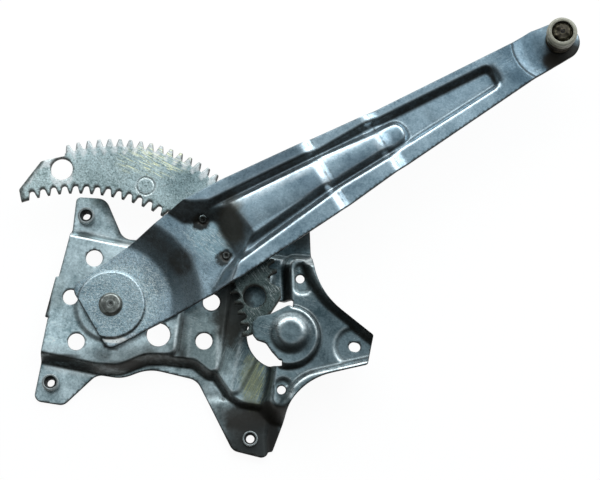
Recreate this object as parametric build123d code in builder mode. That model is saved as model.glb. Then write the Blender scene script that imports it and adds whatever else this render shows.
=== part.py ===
# Single-arm power window regulator, without its motor.
# Frame: +Z is the pivot axis and points from the door panel towards the glass, the arm's rest
# position leans 30.9 degrees above +X, and z = 0 is the plane of the door panel.  Millimetres.
from build123d import *
from math import acos, cos, degrees, radians, sin, tan
import os

os.makedirs("parts", exist_ok=True)

# ---- gear -----------------------------------------------------------------------------------
gear_module = 2.0
full_circle_teeth = 99          # teeth the sector would have as a whole wheel
working_teeth = 27
first_tooth_angle = 105.9       # degrees from +X, at the end of the sector away from the arm
pressure_angle = 20.0
dedendum_factor = 1.25
pinion_teeth = 10
pinion_direction = -9.6         # degrees from +X, from the pivot to the motor's pinion
sector_thickness = 3.0
nest_shift = 39.9               # how far the blanking die steps from one sector to the next
nest_direction = 57.2           # degrees, the direction of that step
nest_web = 0.2                  # the nested teeth's points stand this far outside the tips
nest_depth = 4.6
nest_arch_count = 27
nest_first_angle = 105.0        # middle of the first arch, seen from the shifted centre
nest_arch_radius = 1.7
nest_tip_width = 0.8
sector_hole_diameter = 13.4
sector_hole_places = [(8.6, 110.6), (10.7, 2.7)]    # inside the root circle, and the angle
ring_mark_inset = 22.1
ring_mark_angle = 74.5
ring_mark_diameter = 11.4
ring_mark_width = 0.7
ring_mark_depth = 0.3

# ---- sheet and levels, all heights above the door panel ---------------------------------------
plate_thickness = 1.6
arm_thickness = 2.0
pivot_zone_level = 12.4
rib_zone_level = 10.4
gutter_level = 9.0
valley_level = 8.0
motor_zone_level = 19.5
bottom_leg_level = 3.4
pivot_emboss = 0.8
pad_recess = 1.3
tab_recess = 1.0
border_flange_height = 5.0
sector_gap = 0.7                # air between the sector's front and the tongue over it
dome_height = 3.3
dome_radius = 7.6
dome_flange_radius = 17.7
pivot_emboss_radius = 21.0
tab_arc_radius = 11.0
opening_shift = (-5.9, 1.2)     # from the motor's axis
opening_radius = 20.5
wall_slope = 20                 # degrees off vertical, of the pressed walls
motor_wall_slope = 18
tongue_slope = 16
dome_slope = 52
flange_slope = 35
shallow_slope = 40
flange_drop = 1.0               # how much lower the border flange runs along the lower edge
under = 3.0                     # pressed blocks are drawn down to this far below the panel
hub_disc_height = 1.5
cone_run = 18.0                 # width of the hub's cone, seen from above
cone_to_sector = 11.3           # from the cone out to the sector's punched inner edge
hub_disc_radius = 20.4
rail_above_weld = 10.9
first_joggle = 149.0            # along the arm from the pivot
second_joggle = 191.0
joggle_length = 8.0
joggle_bend = 5.0
hub_start = 40.0                # the pressed length of the arm begins inside the hub's cone
groove_slope = 25
pocket_slope = 33
rib_drop = 0.3
tip_step_radius = 25.0
tip_boss_radius = 12.0
rail_depth = 4.5
joggle_drop = 2.5
tip_drop = 1.0

# ---- pivot, roller and fasteners --------------------------------------------------------------
running_clearance = 0.05        # radial
seat_gap = 0.1                  # axial, at the pivot's and the roller's sliding faces
pin_shoulder_diameter = 10.0
pin_head_diameter = 13.4
pin_head_height = 2.7
pin_tail_diameter = 8.0
pin_rivet_diameter = 13.0
pin_rivet_height = 2.0
pin_head_round = 0.8
rivet_chamfer = 1.4
spacer_diameter = 30.0
arm_direction = 30.9
arm_reach = 314.5               # pivot axis to roller axis, along the arm
roller_offset = -0.8            # roller axis off the arm's centre line
roller_diameter = 18.4
roller_rim_height = 6.5
roller_barrel_diameter = 15.0
roller_height = 13.5
roller_bore_diameter = 11.1
roller_lip_depth = 3.0
roller_lip_diameter = 15.0      # recess round the stud's head
roller_foot_diameter = 16.2
roller_foot_height = 1.5
roller_step = 0.8
roller_edge = 1.0
stud_shoulder_diameter = 11.0
stud_foot_height = 4.5
stud_collar_diameter = 16.5
stud_head_diameter = 8.6
stud_tail_diameter = 8.0
stud_rivet_diameter = 12.0
stud_rivet_height = 1.6
stud_collar_height = 1.5
stud_lip_diameter = 13.4        # the collar's top, that the roller runs on
stud_lip_height = 1.0
stud_head_cone = 2.6
stud_head_proud = 0.2
stake_diameter = 5.0
stake_inset = 22.0              # of the staked dowels, inside the sector's root circle
stake_angles = (42.8, 22.5)
stake_proud = 0.3
stake_dimple_diameter = 2.0
nut_thread_diameter = 5.0       # M6 minor diameter
nut_diameter = 10.3
nut_height = 6.5
nut_spigot_diameter = 7.4
nut_lead_diameter = 7.6
nut_lead_depth = 1.2
low_nut_diameter = 9.2
low_nut_height = 3.0
low_nut_spigot_diameter = 6.8
low_nut_lead_diameter = 7.2
nut_chamfer = 0.4
fit_clearance = 0.05            # radial, where a fastener is clinched or staked into sheet

nut_places = {
    "nut_upper_left": (-17.0, 56.5),
    "nut_lower_left": (-36.1, -45.5),
    "nut_upper_right": (102.5, 53.0),
}
low_nut_place = (83.3, -79.0)
lightening_holes = [
    (-11.0, 29.1, 10.2), (-20.7, -21.7, 10.2), (-24.7, 5.3, 9.3),
    (28.3, -17.5, 14.0), (55.5, -21.1, 10.1), (59.7, 2.6, 10.2),
]
motor_screw_radius = 33.85
motor_screw_direction = 80.6
motor_screw_hole = 5.2
tab_slot_shift = (37.8, -7.8)   # from the motor's axis
tab_slot_length = 6.9
tab_slot_width = 5.7
tab_slot_turn = -12.0

# ---- sizes that follow ------------------------------------------------------------------------
pitch_radius = gear_module * full_circle_teeth / 2
tip_radius = pitch_radius + gear_module
root_radius = pitch_radius - dedendum_factor * gear_module
pitch_angle = 360 / full_circle_teeth
base_radius = pitch_radius * cos(radians(pressure_angle))
nest_tip_radius = tip_radius + nest_web
nest_root_radius = nest_tip_radius + nest_depth
stake_radius = root_radius - stake_inset
cone_end_radius = nest_root_radius - nest_shift - cone_to_sector
cone_start_radius = cone_end_radius - cone_run

pivot_pad_level = pivot_zone_level + pivot_emboss
sector_back = pivot_zone_level + 5.6
sector_front = sector_back + sector_thickness
weld_level = sector_front + arm_thickness
hub_level = weld_level - 6.8
disc_level = hub_level + hub_disc_height
tongue_level = sector_front + sector_gap + plate_thickness
dome_level = tongue_level + dome_height
rail_level = weld_level + rail_above_weld
middle_level = rail_level - joggle_drop
outer_level = middle_level - joggle_drop
tip_level = outer_level - tip_drop


def polar(radius, angle):
    return (radius * cos(radians(angle)), radius * sin(radians(angle)))


motor_axis = polar(pitch_radius + gear_module * pinion_teeth / 2, pinion_direction)
motor_screws = [
    (motor_axis[0] + x, motor_axis[1] + y)
    for x, y in (polar(motor_screw_radius, motor_screw_direction + turn) for turn in (0, 180))
]


def by_motor(corners):
    """Corners given from the motor's axis."""
    return [(motor_axis[0] + x, motor_axis[1] + y, *rest) for x, y, *rest in corners]


(opening_centre, tab_slot_place) = by_motor([opening_shift, tab_slot_shift])
arm_along = (*polar(1, arm_direction), 0)
arm_plane = Plane(origin=(0, 0, 0), x_dir=arm_along, z_dir=(0, 0, 1))
arm_side = Plane(origin=(0, 0, 0), x_dir=arm_along, z_dir=(arm_along[1], -arm_along[0], 0))
roller_axis = arm_plane.from_local_coords(Vector(arm_reach, roller_offset))


def rounded(corners):
    """A closed face through (x, y, radius) corners."""
    with BuildSketch(Plane.XY) as shape:
        with BuildLine():
            FilletPolyline([(x, y) for x, y, r in corners], radius=[r for x, y, r in corners],
                           close=True)
        make_face()
    return shape.sketch_local


# ---- sector gear: teeth outside, the next blank's teeth punched inside -------------------------
def half_space(radius):
    """Half the gap between two involute teeth at a radius, in degrees."""
    def involute(angle):
        return tan(angle) - angle
    flank = acos(min(1, base_radius / radius))
    return pitch_angle / 4 - degrees(involute(radians(pressure_angle)) - involute(flank))


def tooth_gap():
    radii = (root_radius, pitch_radius, tip_radius + 1)
    right = [polar(r, -half_space(max(r, base_radius))) for r in radii]
    left = [polar(r, half_space(max(r, base_radius))) for r in radii]
    with BuildSketch(Plane.XY) as gap:
        with BuildLine():
            ThreePointArc(*right)
            Line(right[2], left[2])
            ThreePointArc(*reversed(left))
            Line(left[0], right[0])
        make_face()
    return gap.sketch_local


def nest_arch():
    half_width = radians(pitch_angle) * nest_tip_radius / 2 - nest_tip_width / 2
    shoulder = nest_root_radius - nest_arch_radius
    with BuildSketch(Plane.XY) as arch:
        with BuildLine():
            Polyline((shoulder, -nest_arch_radius), (nest_tip_radius - 1, -half_width),
                     (nest_tip_radius - 1, half_width), (shoulder, nest_arch_radius))
            ThreePointArc((shoulder, nest_arch_radius), (nest_root_radius, 0),
                          (shoulder, -nest_arch_radius))
        make_face()
    return arch.sketch_local


stake_places = [polar(stake_radius, angle) for angle in stake_angles]
nest_centre = polar(-nest_shift, nest_direction)
last_tooth_angle = first_tooth_angle - (working_teeth - 1) * pitch_angle
left_flank = first_tooth_angle + pitch_angle / 2
right_flank = last_tooth_angle - pitch_angle / 2
outside = tip_radius + 12


def inside_root(inset, angle, radius):
    """A corner on the sector, an inset inside the root circle, with its own rounding."""
    return (*polar(root_radius - inset, angle), radius)


sector_blank = [
    (*polar(outside, left_flank), 0), inside_root(1.5, left_flank, 1),
    inside_root(1.0, 110.2, 1.5), inside_root(-0.9, 116.5, 3), inside_root(7.0, 129.0, 2),
    inside_root(14.4, 131.6, 1.2), inside_root(46.5, 126.9, 0), inside_root(46.5, -36.9, 0),
    inside_root(18.3, -13.8, 0), inside_root(13.8, -14.0, 1.5), inside_root(8.8, -11.9, 3),
    inside_root(0.9, -3.7, 4), inside_root(-5.2, 1.9, 1.5), inside_root(-5.2, 5.4, 1.5),
    inside_root(0.3, 7.3, 1), inside_root(1.5, right_flank, 0), (*polar(outside, right_flank), 0),
    (outside, outside, 0), (0, outside + 10, 0),
]
stop_lug = [inside_root(6.1, -6.3, 0), inside_root(-5.2, 1.9, 1.5), inside_root(-5.2, 5.4, 1.5),
            inside_root(5.4, 8.8, 0)]
sector_holes = [polar(root_radius - inset, angle) for inset, angle in sector_hole_places]
ring_mark_place = polar(root_radius - ring_mark_inset, ring_mark_angle)

with BuildPart() as sector_gear:
    with BuildSketch(Plane.XY.offset(sector_back)):
        Circle(tip_radius)
        add(rounded(stop_lug))
        add(rounded(sector_blank), mode=Mode.INTERSECT)
        with Locations(nest_centre):
            Circle(nest_tip_radius, mode=Mode.SUBTRACT)
        with PolarLocations(0, working_teeth + 1, left_flank, -working_teeth * pitch_angle,
                            endpoint=True):
            add(tooth_gap(), mode=Mode.SUBTRACT)
        with Locations(nest_centre):
            with PolarLocations(0, nest_arch_count, nest_first_angle,
                                -(nest_arch_count - 1) * pitch_angle, endpoint=True):
                add(nest_arch(), mode=Mode.SUBTRACT)
        with Locations(*sector_holes):
            Circle(sector_hole_diameter / 2, mode=Mode.SUBTRACT)
    extrude(amount=sector_thickness)
    with BuildSketch(Plane.XY.offset(sector_front)):
        with Locations(ring_mark_place):
            Circle(ring_mark_diameter / 2)
            Circle(ring_mark_diameter / 2 - ring_mark_width, mode=Mode.SUBTRACT)
    extrude(amount=-ring_mark_depth, mode=Mode.SUBTRACT)
    with BuildSketch(Plane.XY.offset(sector_front)):
        with Locations(*stake_places):
            Circle(stake_diameter / 2)
    extrude(amount=arm_thickness + stake_proud)
    with Locations(*[(x, y, weld_level + stake_proud) for x, y in stake_places]):
        Hole(stake_dimple_diameter / 2, depth=stake_proud + 0.8)
sector_gear.part.label = "sector_gear"
export_step(sector_gear.part, "parts/sector_gear.step")


# ---- base plate: one pressed sheet ------------------------------------------------------------
def drafted(corners, plane, level, far, slope, grow=0):
    """A block from the face through the corners to a far level, its walls drawn in by the slope."""
    with BuildPart() as block:
        with BuildSketch(plane.offset(level)):
            add(rounded(corners))
            if grow:
                offset(amount=grow, kind=Kind.INTERSECTION)
        extrude(amount=far - level, taper=slope)
    return block.part


def wall_shift(depth, slope):
    """How far a pressed wall's top edge moves in when its sheet's other face is drawn."""
    return depth * (1 - sin(radians(slope))) / cos(radians(slope))


def raised(corners, level, foot, slope, depth):
    return drafted(corners, Plane.XY, level - depth, foot, -slope, -wall_shift(depth, slope))


def sunk(corners, level, top, slope, depth):
    return drafted(corners, Plane.XY, level - depth, top, -slope, wall_shift(depth, slope))


plate_corners = [
    (-23.7, 69.5, 3), (-5.7, 68.4, 8), (5.3, 43.2, 8), (69, 38, 14), (85, 65, 8),
    *by_motor([(10.8, 84.2, 8), (12.0, 51.2, 30), (16.8, 24.7, 45), (49.0, -1.4, 1.5),
               (45.5, -18.8, 2), (3.9, -28.3, 38), (-11.0, -68.0, 1.2)]),
    (94.0, -86.6, 0.8), (92.0, -90.6, 4),
    (72.7, -85.8, 7), (51.0, -43.3, 10), (22, -36.4, 25), (6, -42.4, 20), (-9, -40.0, 8),
    (-28.6, -58.6, 6), (-46.7, -55.8, 4.5), (-38.0, -6.8, 0.5),
    (-39.8, -6.8, 0.5), (-33.9, 17.9, 0.6), (-32.1, 17.9, 0.6), (-26.3, 42.5, 4),
]
pivot_zone = [(-70, 53.3, 0), (44, 29.3, 6), (41.3, -6, 10), (38.2, -29.4, 5), (20, -29.6, 14),
              (5, -35.9, 12), (-8, -35.3, 20), (-70, -22.6, 0)]
rib_zone = [(20, 30, 0), (71, 24, 5), (70.2, 5, 10), (65.6, -32.2, 8), (62.5, -42.5, 4),
            (50, -32.5, 6), (20, -29, 0)]
gutter_zone = [(40, 27, 0), (97, 21, 4), (92, -10, 10), (86.9, -30.8, 3), (73.9, -56.0, 4),
               (60, -36, 8), (40, -20, 0)]
valley_zone = [(60, 34, 3), (102.5, 29.5, 0), (102.5, -58, 0), (91.7, -60.4, 2), (78, -58, 6),
               (70.5, -53, 6), (60, -36, 8)]
motor_zone = by_motor([(-0.9, 45.7, 4), (0.1, 18.2, 10), (-9.0, -15.8, 10), (-12.7, -43.8, 5),
                       (5.5, -46.3, 5), (14.5, -38.8, 0), (72.5, -31.8, 0), (72.5, 38.2, 0),
                       (16.5, 44.2, 3)])
bottom_leg_zone = [(50, -56, 0), (94.8, -56, 0), (91.6, -78, 6), (93.4, -100, 0), (50, -100, 0)]
right_flange = by_motor([(11.3, 40.7, 0), (16.0, 25.0, 46), (49.0, -1.6, 0), (68.6, -16.6, 0),
                         (82.5, 18.2, 0), (42.5, 40.7, 0)])
lower_flange = by_motor([(52.5, -15.4, 0), (2.4, -26.9, 24), (-2.9, -41.3, 0), (7.5, -42.8, 0),
                         (57.5, -42.8, 0)])
tongue = by_motor([(-0.4, 17.2, 3), (-12.4, 11.2, 3), (-19.6, 9.9, 2), (-23.2, 5.7, 2),
                   (-22.4, -1.5, 2), (-20.1, -4.4, 2), (-14.8, -6.2, 3), (-11.2, -11.4, 3),
                   (-5.9, -17.2, 3), (4.5, -11.8, 0), (4.5, 12.2, 0)])
upper_pad = by_motor([(2.5, 41.8, 3), (10.5, 41.8, 3), (11.1, 25.0, 3), (2.9, 25.0, 3)])
lower_pad = by_motor([(-8.7, -27.3, 4), (0.5, -27.3, 4), (-3.0, -41.3, 3), (-9.1, -41.3, 3)])
opening_limits = by_motor([(-47.5, 24.2, 0), (-1.5, 22.7, 0), (1.4, 19.7, 0), (1.1, 16.2, 0),
                           (-5.3, -16.6, 0), (-5.3, -19.8, 0), (-47.5, -41.8, 0)])
ring_centre = (motor_axis[0] - 1.3, motor_axis[1] - 1.6)


def plate_form(depth):
    """Everything behind the plate's front face, or behind its back face at the sheet's depth."""
    flange_level = motor_zone_level + border_flange_height
    steps = (
        (bottom_leg_zone, bottom_leg_level, shallow_slope), (valley_zone, valley_level, wall_slope),
        (gutter_zone, gutter_level, wall_slope), (rib_zone, rib_zone_level, wall_slope),
        (pivot_zone, pivot_zone_level, wall_slope),
        (motor_zone, motor_zone_level, motor_wall_slope),
    )
    with BuildPart() as form:
        with BuildSketch(Plane.XY.offset(-2 * under)):
            add(rounded(plate_corners))
            offset(amount=2 * motor_screw_hole, kind=Kind.INTERSECTION)
        extrude(amount=2 * under + plate_thickness - depth)
        for corners, level, slope in steps:
            add(raised(corners, level, -under, slope, depth))
        for pad in (upper_pad, lower_pad):
            add(sunk(pad, motor_zone_level - pad_recess, motor_zone_level + 1, shallow_slope,
                     depth), mode=Mode.SUBTRACT)
        recess_grow = wall_shift(depth, shallow_slope)
        with BuildSketch(Plane.XY.offset(motor_zone_level - tab_recess - depth)):
            with Locations(tab_slot_place):
                Circle(tab_arc_radius + recess_grow)
                with Locations((2 * tab_arc_radius, 0)):
                    Rectangle(4 * tab_arc_radius, 2 * (tab_arc_radius + recess_grow))
        extrude(amount=tab_recess + 1, taper=-shallow_slope, mode=Mode.SUBTRACT)
        flange_foot = motor_zone_level - under - plate_thickness
        add(raised(right_flange, flange_level, flange_foot, flange_slope, depth))
        add(raised(lower_flange, flange_level - flange_drop, flange_foot, flange_slope, depth))
        tongue_foot = motor_zone_level - plate_thickness - 0.4
        add(raised(tongue, tongue_level, tongue_foot, tongue_slope, depth))
        with BuildSketch(Plane.XY.offset(tongue_level - depth)):
            with Locations(ring_centre):
                Circle(dome_flange_radius - wall_shift(depth, tongue_slope))
        extrude(amount=tongue_foot - tongue_level + depth, taper=-tongue_slope)
        with BuildSketch(Plane.XY.offset(dome_level - depth)):
            with Locations(motor_axis):
                Circle(dome_radius - wall_shift(depth, dome_slope))
        extrude(amount=-dome_height - 1, taper=-dome_slope)
        with BuildSketch(Plane.XY.offset(pivot_pad_level - depth)):
            Circle(pivot_emboss_radius - wall_shift(depth, shallow_slope))
        extrude(amount=-pivot_emboss - 0.5, taper=-shallow_slope)
    return form.part


with BuildPart() as base_plate:
    add(plate_form(0))
    add(plate_form(plate_thickness), mode=Mode.SUBTRACT)
    with BuildSketch(Plane.XY) as opening:
        with Locations(opening_centre):
            Circle(opening_radius)
        add(rounded(opening_limits), mode=Mode.INTERSECT)
    extrude(amount=tongue_level - plate_thickness, mode=Mode.SUBTRACT)
    with BuildSketch(Plane.XY):
        add(rounded(plate_corners))
        with BuildSketch(Plane.XY, mode=Mode.PRIVATE) as window:
            add(opening.sketch_local)
            add(rounded(tongue), mode=Mode.SUBTRACT)
        add(window.sketch, mode=Mode.SUBTRACT)
        for x, y, diameter in lightening_holes:
            with Locations((x, y)):
                Circle(diameter / 2, mode=Mode.SUBTRACT)
        with Locations(*motor_screws):
            Circle(motor_screw_hole / 2, mode=Mode.SUBTRACT)
        with Locations(Location((*tab_slot_place, 0), tab_slot_turn)):
            SlotOverall(tab_slot_length, tab_slot_width, mode=Mode.SUBTRACT)
        with Locations(*nut_places.values()):
            Circle(nut_spigot_diameter / 2 + fit_clearance, mode=Mode.SUBTRACT)
        with Locations(low_nut_place):
            Circle(low_nut_spigot_diameter / 2 + fit_clearance, mode=Mode.SUBTRACT)
        Circle(pin_tail_diameter / 2 + fit_clearance, mode=Mode.SUBTRACT)
    extrude(amount=2 * dome_level, mode=Mode.INTERSECT)
base_plate.part.label = "base_plate"
export_step(base_plate.part, "parts/base_plate.step")


# ---- lift arm: one pressed sheet, drawn along its own length ----------------------------------
arm_corners = [
    (-15.4, 21.6, 6), (30, 25.6, 40), (57, 29.8, 12), (93, 28.6, 12), (first_joggle - 4, 23.6, 60),
    (second_joggle - 1, 19.0, 60), (arm_reach - 24.5, 12.6, 20), (arm_reach - 11.5, 13.0, 8),
    (arm_reach + 12.7, 8.6, 9.5), (arm_reach + 11.5, -13.2, 10.5), (arm_reach - 23.5, -13.4, 40),
    (second_joggle - 3, -20.4, 80), (first_joggle - 7, -24.8, 60), (74, -28.4, 12),
    (30, -25.4, 60), (-15.2, -22.6, 5),
]


def past_stakes(corners):
    """Corners along the arm, given from the staked dowels' distance from the pivot."""
    return [(stake_radius + x, y, r) for x, y, r in corners]


hub_pocket_foot = past_stakes([
    (-140, 60, 0), (-19.5, 60, 0), (-17.5, 31, 2), (-12, 19.2, 4), (4.8, 11.5, 4), (4.5, -16, 4),
    (-6.2, -18.2, 4), (-18, -24.5, 3), (-24.5, -60, 0), (-140, -60, 0),
])
hub_pocket_rim = past_stakes([
    (-140, 60, 0), (-14.5, 60, 0), (-10.5, 32.5, 2), (-2.5, 26.4, 4), (17, 16.5, 4), (21, -11, 4),
    (1.5, -21.0, 4), (-8.5, -31, 3), (-16.5, -60, 0), (-140, -60, 0),
])
groove_end = arm_reach - 41.5
rib_end = second_joggle + 11
groove_edge = [
    (60, 22.5, 0), (first_joggle - 1, 15.8, 0), (second_joggle + 1, 15.8, 0),
    (groove_end, 10.4, 8.0), (groove_end, -8.6, 8.0), (second_joggle + 1, -11.8, 0),
    (first_joggle - 1, -12.6, 0), (60, -21.5, 0),
]
rib_edge = [
    (70, 15.6, 0), (first_joggle + 2, 9.6, 0), (rib_end, 3.4, 2.6), (rib_end, -3.8, 2.6),
    (first_joggle + 2, -5.6, 0), (70, -12.4, 0),
]


def side_profile(first_level):
    """The arm's height along its length: three stations, a little lower after each joggle."""
    half = joggle_length / 2
    second_level = first_level - joggle_drop
    third_level = second_level - joggle_drop
    past_tip = arm_reach + tip_step_radius
    return rounded([
        (hub_start, 0, 0), (hub_start, first_level, 0),
        (first_joggle - half, first_level, joggle_bend),
        (first_joggle + half, second_level, joggle_bend),
        (second_joggle - half, second_level, joggle_bend),
        (second_joggle + half, third_level, joggle_bend),
        (past_tip, third_level, 0), (past_tip, 0, 0),
    ])


def along_arm(first_level, width):
    with BuildPart() as bar:
        with BuildSketch(arm_side):
            add(side_profile(first_level))
        extrude(amount=width, both=True)
    return bar.part


def arm_form(depth):
    """Everything behind the arm's front face, or behind its back face at the sheet's depth."""
    rail = rail_level - depth
    grow = wall_shift(depth, groove_slope)
    with BuildPart() as hub_pocket:
        for corners, level in ((hub_pocket_foot, weld_level), (hub_pocket_rim, rail_level + 0.5)):
            with BuildSketch(arm_plane.offset(level - depth)):
                add(rounded(corners))
                if depth:
                    offset(amount=wall_shift(depth, pocket_slope), kind=Kind.INTERSECTION)
        loft(ruled=True)
    floor = rail_depth + 2 * joggle_drop
    rib = drafted(rib_edge, arm_plane, rail, rail - floor - 3, -groove_slope, -grow)
    with BuildPart() as form:
        add(along_arm(rail, 45))
        add(drafted(groove_edge, arm_plane, rail, rail - floor, groove_slope, grow),
            mode=Mode.SUBTRACT)
        add(along_arm(rail - rail_depth, 30))
        add(rib & along_arm(rail - rib_drop, 30))
        add(hub_pocket.part, mode=Mode.SUBTRACT)
        with BuildSketch(arm_plane.offset(tip_level - depth)):
            with Locations((arm_reach, roller_offset)):
                Circle(tip_step_radius + depth / 2)
        extrude(amount=6, taper=-30, mode=Mode.SUBTRACT)
        with BuildSketch(arm_plane.offset(tip_level - depth + tip_drop)):
            with Locations((arm_reach, roller_offset)):
                Circle(tip_boss_radius - depth / 2)
        extrude(amount=-tip_drop - 0.5, taper=-40)
        Cylinder(cone_end_radius + depth / 4, 4 * rail_level, mode=Mode.SUBTRACT)
        with BuildSketch(Plane.XZ):
            with BuildLine():
                Polyline((0, 0), (0, disc_level - depth),
                         (hub_disc_radius - 2 * hub_disc_height - depth / 3, disc_level - depth),
                         (hub_disc_radius - depth / 3, hub_level - depth),
                         (cone_start_radius + depth / 4, hub_level - depth),
                         (cone_end_radius + depth / 4, weld_level - depth),
                         (cone_end_radius + depth / 4, 0), (0, 0))
            make_face()
        revolve(axis=Axis.Z)
    return form.part


with BuildPart() as lift_arm:
    add(arm_form(0))
    add(arm_form(arm_thickness), mode=Mode.SUBTRACT)
    with BuildSketch(arm_plane):
        add(rounded(arm_corners))
        Circle(pin_shoulder_diameter / 2 + running_clearance, mode=Mode.SUBTRACT)
        with Locations((arm_reach, roller_offset)):
            Circle(stud_tail_diameter / 2 + fit_clearance, mode=Mode.SUBTRACT)
        with Locations(*[polar(stake_radius, angle - arm_direction) for angle in stake_angles]):
            Circle(stake_diameter / 2 + fit_clearance, mode=Mode.SUBTRACT)
    extrude(amount=rail_level + 10, mode=Mode.INTERSECT)
lift_arm.part.label = "lift_arm"
export_step(lift_arm.part, "parts/lift_arm.step")


# ---- pivot: shouldered rivet and the spacer under the arm -------------------------------------
def turned(place, profile):
    """A solid turned about an upright axis from (radius, height) points that end on the axis."""
    points = [(0, profile[0][1])] + list(profile) + [(0, profile[-1][1])]
    with BuildPart() as shape:
        with BuildSketch(Plane.XZ):
            with BuildLine():
                Polyline(*points, close=True)
            make_face()
        revolve(axis=Axis.Z)
    return shape.part.moved(Location((*place, 0)))


pivot_spacer_height = disc_level - arm_thickness - pivot_pad_level - 2 * seat_gap
head_seat = disc_level + seat_gap
plate_back = pivot_pad_level - plate_thickness
with BuildPart() as pivot_pin:
    add(turned((0, 0), [
        (pin_rivet_diameter / 2 - rivet_chamfer, plate_back - pin_rivet_height),
        (pin_rivet_diameter / 2, plate_back - pin_rivet_height + rivet_chamfer),
        (pin_rivet_diameter / 2, plate_back), (pin_tail_diameter / 2, plate_back),
        (pin_tail_diameter / 2, pivot_pad_level), (pin_shoulder_diameter / 2, pivot_pad_level),
        (pin_shoulder_diameter / 2, head_seat), (pin_head_diameter / 2, head_seat),
        (pin_head_diameter / 2, head_seat + pin_head_height),
    ]))
    fillet(pivot_pin.edges().sort_by(Axis.Z)[-1], pin_head_round)
pivot_pin.part.label = "pivot_pin"
export_step(pivot_pin.part, "parts/pivot_pin.step")

with BuildPart() as pivot_spacer:
    with BuildSketch(Plane.XY.offset(pivot_pad_level)):
        Circle(spacer_diameter / 2)
        Circle(pin_shoulder_diameter / 2 + fit_clearance, mode=Mode.SUBTRACT)
    extrude(amount=pivot_spacer_height)
pivot_spacer.part.label = "pivot_spacer"
export_step(pivot_spacer.part, "parts/pivot_spacer.step")


# ---- roller and its riveted stud --------------------------------------------------------------
boss_level = tip_level + tip_drop
boss_back = boss_level - arm_thickness
collar_top = boss_level + stud_foot_height
roller_foot = collar_top + seat_gap
roller_face = roller_foot + roller_height
head_seat_level = roller_face - roller_lip_depth + seat_gap
rim_foot = roller_face - roller_rim_height
roller_place = (roller_axis.X, roller_axis.Y)
with BuildPart() as roller_stud:
    add(turned(roller_place, [
        (stud_rivet_diameter / 2 - rivet_chamfer, boss_back - stud_rivet_height),
        (stud_rivet_diameter / 2, boss_back - stud_rivet_height + rivet_chamfer),
        (stud_rivet_diameter / 2, boss_back), (stud_tail_diameter / 2, boss_back),
        (stud_tail_diameter / 2, boss_level), (stud_collar_diameter / 2, boss_level),
        (stud_collar_diameter / 2, boss_level + stud_collar_height),
        (stud_lip_diameter / 2, collar_top - stud_lip_height), (stud_lip_diameter / 2, collar_top),
        (stud_shoulder_diameter / 2, collar_top), (stud_shoulder_diameter / 2, head_seat_level),
        (stud_head_diameter / 2 + stud_head_cone, head_seat_level),
        (stud_head_diameter / 2, roller_face + stud_head_proud),
    ]))
roller_stud.part.label = "roller_stud"
export_step(roller_stud.part, "parts/roller_stud.step")

with BuildPart() as roller:
    add(turned(roller_place, [
        (roller_foot_diameter / 2, roller_foot),
        (roller_foot_diameter / 2, roller_foot + roller_foot_height),
        (roller_barrel_diameter / 2, roller_foot + roller_foot_height + roller_step),
        (roller_barrel_diameter / 2, rim_foot - roller_step), (roller_diameter / 2, rim_foot),
        (roller_diameter / 2, roller_face - roller_edge),
        (roller_diameter / 2 - roller_edge, roller_face),
    ]))
    with Locations((*roller_place, roller_face)):
        CounterBoreHole(roller_bore_diameter / 2, roller_lip_diameter / 2, roller_lip_depth)
roller.part.label = "roller"
export_step(roller.part, "parts/roller.step")


# ---- threaded inserts clinched into the legs --------------------------------------------------
def insert_nut(place, level, diameter, height, spigot, lead):
    with BuildPart() as nut:
        with BuildSketch(Plane.XY.offset(level - plate_thickness)):
            with Locations(place):
                Circle(spigot / 2)
        extrude(amount=plate_thickness)
        with BuildSketch(Plane.XY.offset(level)):
            with Locations(place):
                Circle(diameter / 2)
        extrude(amount=height)
        chamfer(nut.faces().sort_by(Axis.Z)[-1].outer_wire().edges(), nut_chamfer)
        with Locations((*place, level + height)):
            CounterBoreHole(nut_thread_diameter / 2, lead / 2, nut_lead_depth)
    return nut.part


for name, place in nut_places.items():
    nut = insert_nut(place, plate_thickness, nut_diameter, nut_height, nut_spigot_diameter,
                     nut_lead_diameter)
    nut.label = name
    export_step(nut, f"parts/{name}.step")
nut_bottom = insert_nut(low_nut_place, bottom_leg_level, low_nut_diameter, low_nut_height,
                        low_nut_spigot_diameter, low_nut_lead_diameter)
nut_bottom.label = "nut_bottom"
export_step(nut_bottom, "parts/nut_bottom.step")
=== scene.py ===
import math

import bmesh
import bpy
import numpy as np
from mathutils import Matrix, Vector, geometry, noise
from mathutils.bvhtree import BVHTree
from mathutils.kdtree import KDTree


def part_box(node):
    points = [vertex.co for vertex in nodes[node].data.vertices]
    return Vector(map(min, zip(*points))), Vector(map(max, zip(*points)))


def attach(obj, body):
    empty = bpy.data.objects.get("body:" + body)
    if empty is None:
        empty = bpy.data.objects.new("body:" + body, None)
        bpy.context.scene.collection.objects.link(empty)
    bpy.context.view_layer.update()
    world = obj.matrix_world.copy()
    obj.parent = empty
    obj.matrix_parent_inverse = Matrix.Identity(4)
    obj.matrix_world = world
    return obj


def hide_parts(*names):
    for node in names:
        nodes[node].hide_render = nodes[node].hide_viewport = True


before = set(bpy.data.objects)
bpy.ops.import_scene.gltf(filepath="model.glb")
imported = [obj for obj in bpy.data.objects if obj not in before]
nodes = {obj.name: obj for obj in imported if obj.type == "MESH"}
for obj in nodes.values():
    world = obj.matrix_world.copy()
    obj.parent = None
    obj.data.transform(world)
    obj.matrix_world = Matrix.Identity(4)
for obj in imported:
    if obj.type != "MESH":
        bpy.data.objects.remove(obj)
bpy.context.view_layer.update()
mm = 0.001
tiny = 1e-6
bpy.context.scene.view_settings.view_transform = "Standard"

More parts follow.
